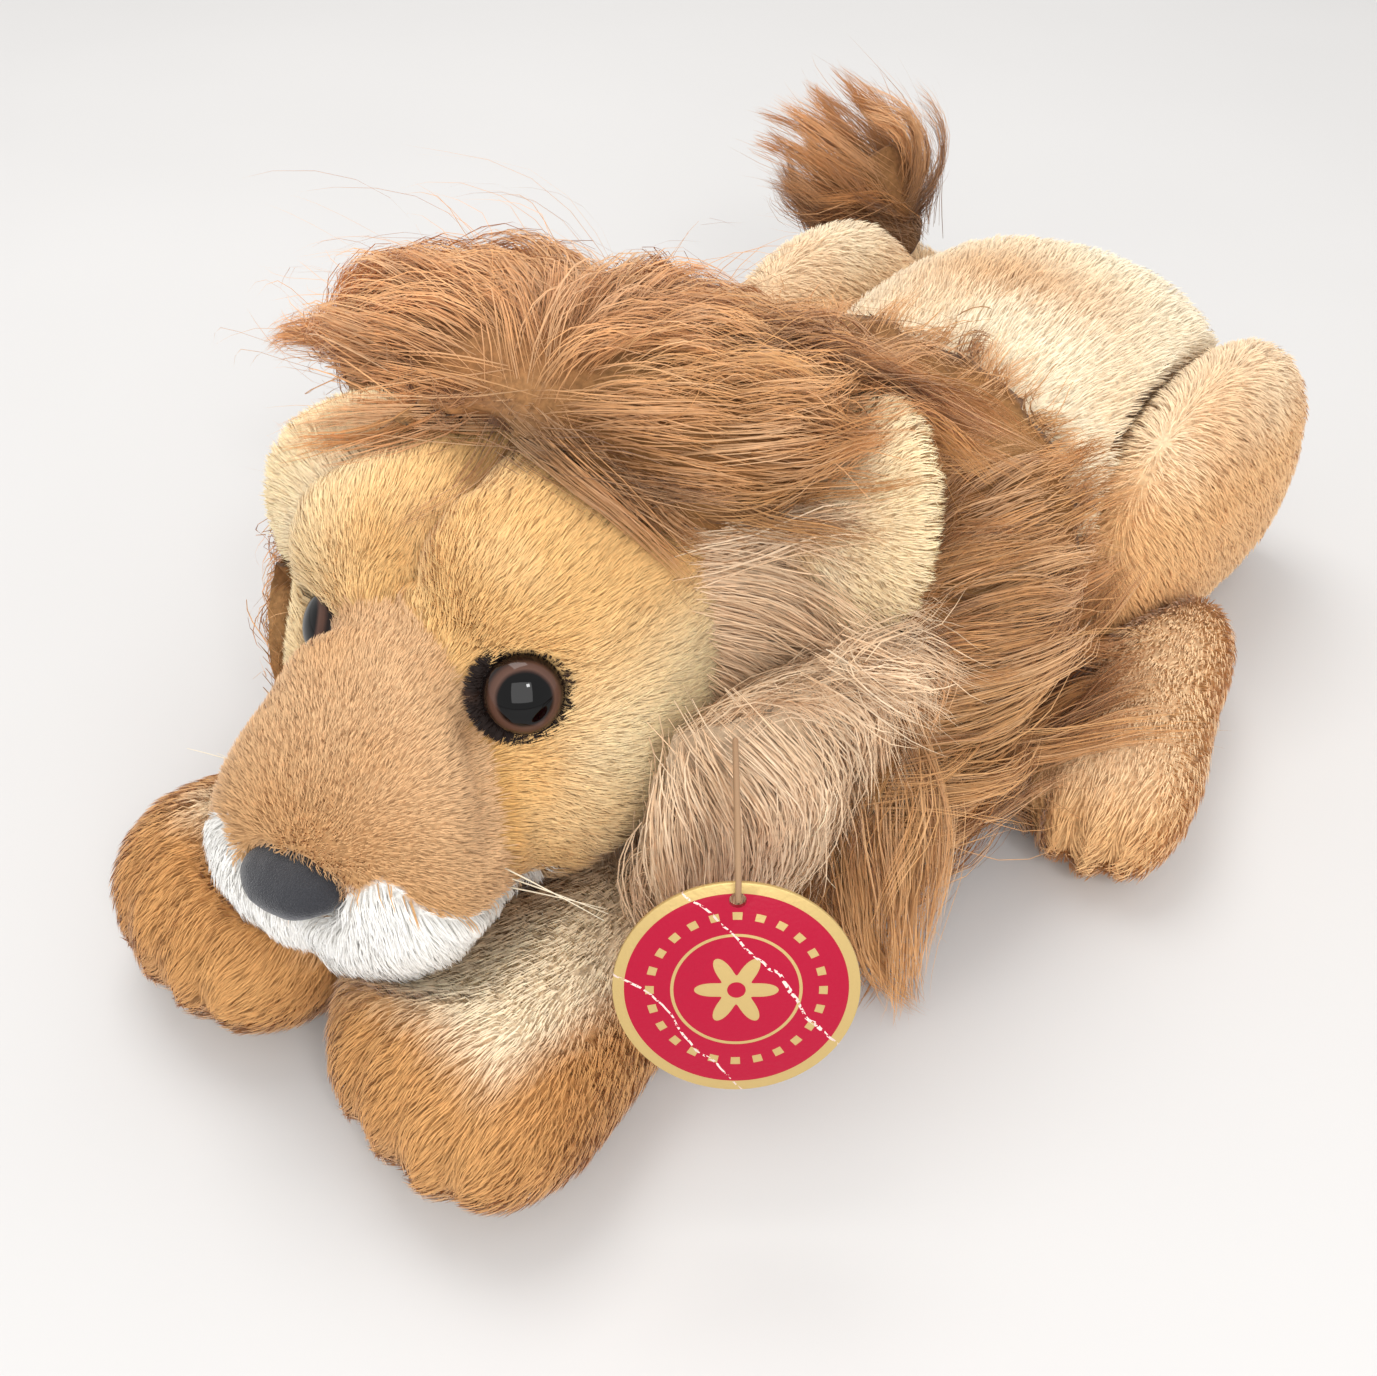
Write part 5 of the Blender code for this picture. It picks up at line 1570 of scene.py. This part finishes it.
@dataclass
class Eyes(Assembly):
    """Two glossy safety eyes in their dark patches."""

    radius: float = 0.0082
    dome_height: float = 0.70
    back_height: float = 0.35
    lift: float = 0.0012
    ring_radius: float = 0.0086
    ring_thick: float = 0.0013
    out_deg: float = 42.0
    up_deg: float = 26.0
    sink_right: float = 0.0030

    @staticmethod
    def material() -> bpy.types.Material:
        """A black pupil in a brown iris under clear gloss."""
        graph = Graph("EyeGloss", {"Roughness": 0.04, "Specular IOR Level": 0.28})
        disc = graph.layer("Disc")
        radius = graph.node("SeparateXYZ", {0: disc}).outputs["X"]
        grain = graph.node("TexNoise", {"Vector": disc, "Scale": 14.0}).outputs["Fac"]
        uneven = graph.maths("MULTIPLY_ADD", grain, 0.03, radius)
        graph.fill(graph.shader, {"Base Color": graph.ramp(uneven, EYE_STOPS)})
        return graph.material

    def seat(self, side: Side) -> Matrix:
        """An eye's frame, whose Z looks out of the head."""
        left, forward, up = EYE_AT
        sink = self.sink_right if side is Side.RIGHT else 0.0
        return (HEAD.matrix @ Matrix.Translation((left * side.value, -forward, up))
                @ Matrix.Rotation(math.radians(self.out_deg * side.value), 4, "Z")
                @ Matrix.Rotation(math.radians(90 - self.up_deg), 4, "X")
                @ Matrix.Translation((0, 0, -sink)))

    def dome(self, side: Side, eye: Matrix, gloss: bpy.types.Material) -> None:
        """Makes one dome, whose back is flatter than its front.

        Args:
            side: The eye's side.
            eye: Its frame.
            gloss: Its material.
        """
        dome = primitive(bpy.ops.mesh.primitive_uv_sphere_add, f"eye_dome_{side.word}",
                         segments=48, ring_count=24, radius=self.radius)
        local = column(dome.data.vertices, "co")
        far = np.linalg.norm(local[:, :2], axis=1) / self.radius
        flat = np.where(local[:, 2] > 0, local[:, 2] * self.dome_height,
                        local[:, 2] * self.back_height)
        local[:, 2] = flat + self.lift
        dome.data.vertices.foreach_set("co", local.ravel())
        ahead = np.array([point.normal.z for point in dome.data.vertices]) > -0.2
        angle = np.arctan2(local[:, 1], local[:, 0]) / math.tau
        mapped(dome, "Disc", np.stack([np.where(ahead, far, 1.0), angle], 1))
        dome.matrix_world = eye
        settled(dome, gloss)
        self.place(dome, "head_group", "brown_plastic",
                   (f"eye_base_{side.word}", f"eye_lens_{side.word}"))

    @staticmethod
    def tint(points: Array) -> Array:
        """Nearly black brown."""
        return mixed(LINER_DARK, LINER_LIGHT, smooth(noise(points, 0.003, 91), 0, 1))

    def patch(self, side: Side, eye: Matrix) -> None:
        """Makes one eye's dark ring of plush."""
        patch = primitive(bpy.ops.mesh.primitive_torus_add, f"eye_patch_{side.word}",
                          major_segments=64, minor_segments=14, major_radius=self.ring_radius,
                          minor_radius=self.ring_thick)
        patch.matrix_world = (eye @ Matrix.Translation((0, 0, -0.0006))
                              @ Matrix.Diagonal((1.06, 0.98, 0.7, 1)))
        settled(patch, BACKING.material())
        skin = Skin(patch)
        skin.paint(self.tint, 0.8)
        self.place(patch, "head_group", "liner_plush", (f"eye_liner_{side.word}",), 0.4)
        up = np.array(eye.to_3x3() @ Vector((0, 0, 1)))
        weights = (skin.faces_out @ up > -0.1).astype(float)
        pile = Pile(2400, 0.0024, 0.00026, 0.8, 0.5, 0.4)
        hair = short_pile(f"eye_patch_pile_{side.word}", skin, pile,
                          partial(away, np.array(eye.translation)), self.tint, weights,
                          91 + side.value)
        self.place(hair, "head_group", "liner_plush")

    def dress(self) -> None:
        """Makes the domes and their patches and places them."""
        gloss, hidden = self.material(), WASHER.material()
        for side in Side:
            eye = self.seat(side)
            self.dome(side, eye, gloss)
            self.patch(side, eye)
            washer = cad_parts[f"eye_washer_{side.word}"]
            washer.data.materials.clear()
            washer.data.materials.append(hidden)


@dataclass
class Nose(Assembly):
    """The velour nose pad with its nostrils."""

    voxel: float = 0.0009
    swell: float = 0.0002
    nostril_depth: float = 0.0026
    split_depth: float = 0.0012

    @staticmethod
    def nostril(at: Array, sign: int, radius: float) -> Array:
        """How near each place is to a nostril, which is wider than high."""
        return bell(at * (0.6, 1, 1.6), (sign * 0.0072 * 0.6, 0.108, -0.0152), radius)

    def dress(self) -> None:
        """Makes the pad and places it."""
        obj = copied("nose_pad", ["nose"])
        applied(obj, "REMESH", mode="VOXEL", voxel_size=self.voxel)
        applied(obj, "SMOOTH", factor=0.5, iterations=5)
        applied(obj, "SUBSURF", levels=1, render_levels=1)
        settled(obj, VELOUR.material())
        skin = Skin(obj)
        at = HEAD.inside(skin.points)
        amount = np.full(len(at), self.swell)
        for sign in (1, -1):
            amount -= self.nostril_depth * self.nostril(at, sign, 0.0017)
        split = np.exp(-(at[:, 0] / 0.0009) ** 2) * smooth(-at[:, 2], 0.008, 0.012)
        skin.raise_by(amount - self.split_depth * split)
        at = HEAD.inside(skin.points)
        colour = mixed(NOSE_LOW, NOSE_TOP, smooth(at[:, 2], -0.0095, -0.0055))
        # The nostrils painted near black: painted shade in their dents
        for sign in (1, -1):
            colour = mixed(colour, NOSTRIL_SHADE, 1.4 * self.nostril(at, sign, 0.0018))
        write_tint(obj.data, colour)
        self.place(obj, "head_group", "charcoal_velour", ("nose",), 0.7)


@dataclass
class HangTag(Assembly):
    """A round card on a loop of cord."""

    at: tuple = (0.0775, -0.1095, 0.0565)
    face_deg: float = 42.0
    lean_deg: float = 18.0
    radius: float = 0.023
    thick: float = 0.001
    hole_radius: float = 0.0016
    hole_edge: float = 0.0036
    edge_round: float = 0.00025
    reach: float = 0.020
    bend: float = 0.024
    spread: float = 0.0042
    cord_radius: float = 0.0006
    cord_steps: int = 36
    cord_gap: float = 0.004

    @property
    def matrix(self) -> Matrix:
        """The card's frame, with its face along Z."""
        return (Matrix.Translation(self.at) @ Matrix.Rotation(math.radians(self.face_deg), 4, "Z")
                @ Matrix.Rotation(math.radians(90 - self.lean_deg), 4, "X"))

    @staticmethod
    def material() -> bpy.types.Material:
        """Crimson print with a gold rim, rings and a plain rosette, and creases in the laminate."""
        graph = Graph("TagPrint", {"Roughness": 0.38, "Specular IOR Level": 0.25})
        maths = graph.maths

        def band(value: Socket, middle: float, half: float) -> Socket:
            """One near the middle and zero elsewhere."""
            return maths("LESS_THAN", maths("ABSOLUTE", maths("SUBTRACT", value, middle)), half)

        place = graph.layer("Print")
        split = graph.node("SeparateXYZ", {0: place})
        east, north = split.outputs["X"], split.outputs["Y"]
        far = maths("SQRT", maths("ADD", maths("MULTIPLY", east, east),
                                  maths("MULTIPLY", north, north)))
        turn = maths("ARCTAN2", north, east)
        petals = maths("MULTIPLY_ADD", maths("COSINE", maths("MULTIPLY", turn, 6.0)), 0.10, 0.24)
        rosette = maths("MULTIPLY", maths("LESS_THAN", far, petals),
                        maths("GREATER_THAN", far, 0.075))
        beads = maths("GREATER_THAN", maths("COSINE", maths("MULTIPLY", turn, 24.0)), 0.25)
        dots = maths("MULTIPLY", beads, band(far, 0.70, 0.035))
        rim = maths("GREATER_THAN", far, 0.905)
        marks = maths("MAXIMUM", maths("MAXIMUM", rosette, dots),
                      maths("MAXIMUM", band(far, 0.52, 0.013), rim))
        crease = graph.node("TexWave", {"Vector": place, "Scale": 0.55, "Distortion": 3.5,
                                        "Detail": 4.0, "Phase Offset": 1.1},
                            bands_direction="DIAGONAL").outputs["Fac"]
        speck = graph.node("TexNoise", {"Vector": place, "Scale": 26.0}).outputs["Fac"]
        worn = maths("MULTIPLY", maths("GREATER_THAN", crease, 0.9985),
                     maths("GREATER_THAN", speck, 0.47))
        ink = graph.node("Mix", {"Factor": marks, "A": (*TAG_CRIMSON, 1), "B": (*TAG_GOLD, 1)},
                         data_type="RGBA")
        wear = graph.node("Mix", {"Factor": worn, "A": ink.outputs["Result"],
                                  "B": (*TAG_WORN, 1)}, data_type="RGBA")
        graph.fill(graph.shader, {"Base Color": wear.outputs["Result"],
                                  "Metallic": maths("MULTIPLY", marks, 0.55)})
        graph.relief(maths("ADD", marks, maths("MULTIPLY", speck, 0.6)), 0.4, 0.0003)
        return graph.material

    def dress(self) -> None:
        """Makes the card and its cord and places them."""
        to_hole = (0, self.radius - self.hole_edge, 0)
        card = primitive(bpy.ops.mesh.primitive_cylinder_add, "tag_card", vertices=96,
                         radius=self.radius, depth=self.thick)
        applied(card, "BEVEL", width=self.edge_round, segments=2, limit_method="ANGLE")
        punch = primitive(bpy.ops.mesh.primitive_cylinder_add, "punch", vertices=24,
                          radius=self.hole_radius, depth=10 * self.thick, location=to_hole)
        applied(card, "BOOLEAN", operation="DIFFERENCE", object=punch, solver="EXACT")
        bpy.data.objects.remove(punch)
        mapped(card, "Print", column(card.data.vertices, "co")[:, :2] / self.radius)
        card.matrix_world = self.matrix
        settled(card, self.material())
        bpy.ops.object.shade_smooth_by_angle(angle=math.radians(35))
        self.place(card, "tag", "crimson_card", ("hang_tag",))
        path = self.route(self.matrix @ Matrix.Translation(to_hole))
        cord = threads("tag_cord", self.cord_radius * 0.92, 3, [[(spot, 1.0) for spot in path]])
        cord.data.materials.append(CORD_THREAD.material())
        length = sum((b - a).length for a, b in zip(path, path[1:]))
        self.place_cord(cord, path[0], length)

    def route(self, hole: Matrix) -> list[Vector]:
        """The cord's way from the ruff through the hole and back.

        Args:
            hole: The hole's frame.

        Returns:
            The points of the cord's middle line.
        """
        path = []
        for step in range(self.cord_steps + 1):
            share = self.cord_gap + (1 - 2 * self.cord_gap) * step / self.cord_steps
            angle = math.pi + 2 * math.pi * share
            up = (1 - math.cos(angle)) / 2
            path.append(hole @ Vector((0, self.reach * up, self.spread * math.sin(angle)
                                       - self.bend * up ** 2)))
        return path

    def place_cord(self, cord: bpy.types.Object, start: Vector, length: float) -> None:
        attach(cord, "tag")
        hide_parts("tag_string")
        tuple(start)
        LOG.info("tag_cord: %.1f mm long on tag", length * 1000)


@dataclass
class Whiskers(Assembly):
    """Pale nylon threads on both sides of the muzzle."""

    spread: float = 0.022
    forward: float = 0.080
    rise: float = -0.012
    step: float = 0.0045
    length: float = 0.0335
    shorter: float = 0.08
    droop: float = 0.002
    radius: float = 0.00024
    rows: int = 3
    segments: int = 11
    middle_deg: float = 6
    fan_deg: float = 9

    def line(self, side: Side, row: int) -> list:
        """One whisker's points, each with its share of the radius."""
        fan = math.radians(self.middle_deg + self.fan_deg * (row - 1))
        points = []
        for index in range(self.segments + 1):
            share = index / self.segments
            far = self.length * share * (1 - self.shorter * row)
            spot = HEAD.outside(side.value * (self.spread + far * math.cos(fan)),
                                self.forward - far * math.sin(fan),
                                self.rise - row * self.step - self.droop * share ** 2)
            points.append((spot, 1 - 0.75 * share))
        return points

    def dress(self) -> None:
        """Draws the tapering threads and places them."""
        nylon = WHISKER_NYLON.material()
        for side in Side:
            alone(threads(f"whisker_threads_{side.word}", self.radius, 1,
                          [self.line(side, row) for row in range(self.rows)]))
            bpy.ops.object.convert(target="MESH")
            settled(bpy.context.object, nylon)
            self.place(bpy.context.object, "head_group", "clear_nylon", (f"whiskers_{side.word}",))


@dataclass(frozen=True)
class Lamp:
    """A soft square lamp."""

    name: str
    place: tuple
    size: float
    power: float
    tint: tuple


@dataclass
class Studio:
    """The floor, the lamps and the camera."""

    azimuth_deg: float = 42.0
    elevation_deg: float = 42.0
    distance: float = 0.360
    target: tuple = (0.003, -0.040, 0.040)
    view_deg: float = 50.0
    floor_radius: float = 2.5
    floor_drop: float = 0.0002
    floor_tones: tuple = ((0, (0.625, 0.62, 0.62)), (1, (0.66, 0.655, 0.655)))
    sky: tuple = (1.0, 0.99, 0.975, 1)
    sky_strength: float = 0.88
    lit: tuple = (0, -0.02, 0.05)
    lights: tuple = (Lamp("Key", (-0.35, 0.10, 1.10), 0.60, 5.4, (1.0, 0.98, 0.95)),
                     Lamp("Fill", (0.75, -0.75, 0.70), 0.9, 7.0, (1.0, 0.99, 0.98)),
                     Lamp("Window", (0.62, -0.35, 0.72), 0.10, 1.0, (1.0, 1.0, 1.0)))

    def floor(self) -> None:
        """A plain pale floor."""
        floor = primitive(bpy.ops.mesh.primitive_circle_add, "floor", vertices=64,
                          radius=self.floor_radius, fill_type="NGON",
                          location=(0, 0, -self.floor_drop))
        graph = Graph("PaleFloor", {"Roughness": 0.7, "Specular IOR Level": 0.1})
        tone = graph.ramp(graph.grain(Scale=6.0), self.floor_tones)
        graph.fill(graph.shader, {"Base Color": tone})
        floor.data.materials.append(graph.material)

    def lamps(self) -> None:
        """Soft light from all round, two broad lamps and a small one for the eyes."""
        world = bpy.data.worlds.new("Studio")
        bpy.context.scene.world = world
        world.use_nodes = True
        background = world.node_tree.nodes["Background"].inputs
        background["Color"].default_value = self.sky
        background["Strength"].default_value = self.sky_strength
        for lamp in self.lights:
            light = bpy.data.lights.new(lamp.name, "AREA")
            light.shape = "SQUARE"
            light.size = lamp.size
            light.energy = lamp.power
            light.color = lamp.tint
            obj = linked(lamp.name, light)
            obj.location = lamp.place
            aim = Vector(self.lit) - Vector(lamp.place)
            obj.rotation_euler = aim.to_track_quat("-Z", "Y").to_euler()

    def camera(self) -> None:
        """The photograph's viewing angle."""
        azimuth, elevation = math.radians(self.azimuth_deg), math.radians(self.elevation_deg)
        back = Vector((math.sin(azimuth) * math.cos(elevation),
                       -math.cos(azimuth) * math.cos(elevation), math.sin(elevation)))
        lens = bpy.data.cameras.new("Camera")
        lens.sensor_fit = "HORIZONTAL"
        lens.angle = math.radians(self.view_deg)
        lens.clip_start = 0.01
        camera = linked("Camera", lens)
        camera.location = Vector(self.target) + back * self.distance
        camera.rotation_euler = back.to_track_quat("Z", "Y").to_euler()
        bpy.context.scene.camera = camera
        bpy.context.scene.view_settings.view_transform = "Standard"


def main() -> None:
    """Builds the lion, piece by piece, and its studio."""
    logging.basicConfig(level=logging.INFO, format="%(message)s")
    studio = Studio()
    studio.camera()
    studio.lamps()
    skins: dict = {}
    grown = [Face(skins), Ears(skins), Body(skins), Forelegs(skins), HindLegs(skins), Tail(skins),
             LongMane(skins)]
    for assembly in grown:
        assembly.build()
        LOG.info("%s built", type(assembly).__name__)
    for assembly in grown + [Eyes(skins), Nose(skins), HangTag(skins), Whiskers(skins)]:
        assembly.dress()
        LOG.info("%s dressed", type(assembly).__name__)
    studio.floor()


if __name__ == "__main__":
    main()
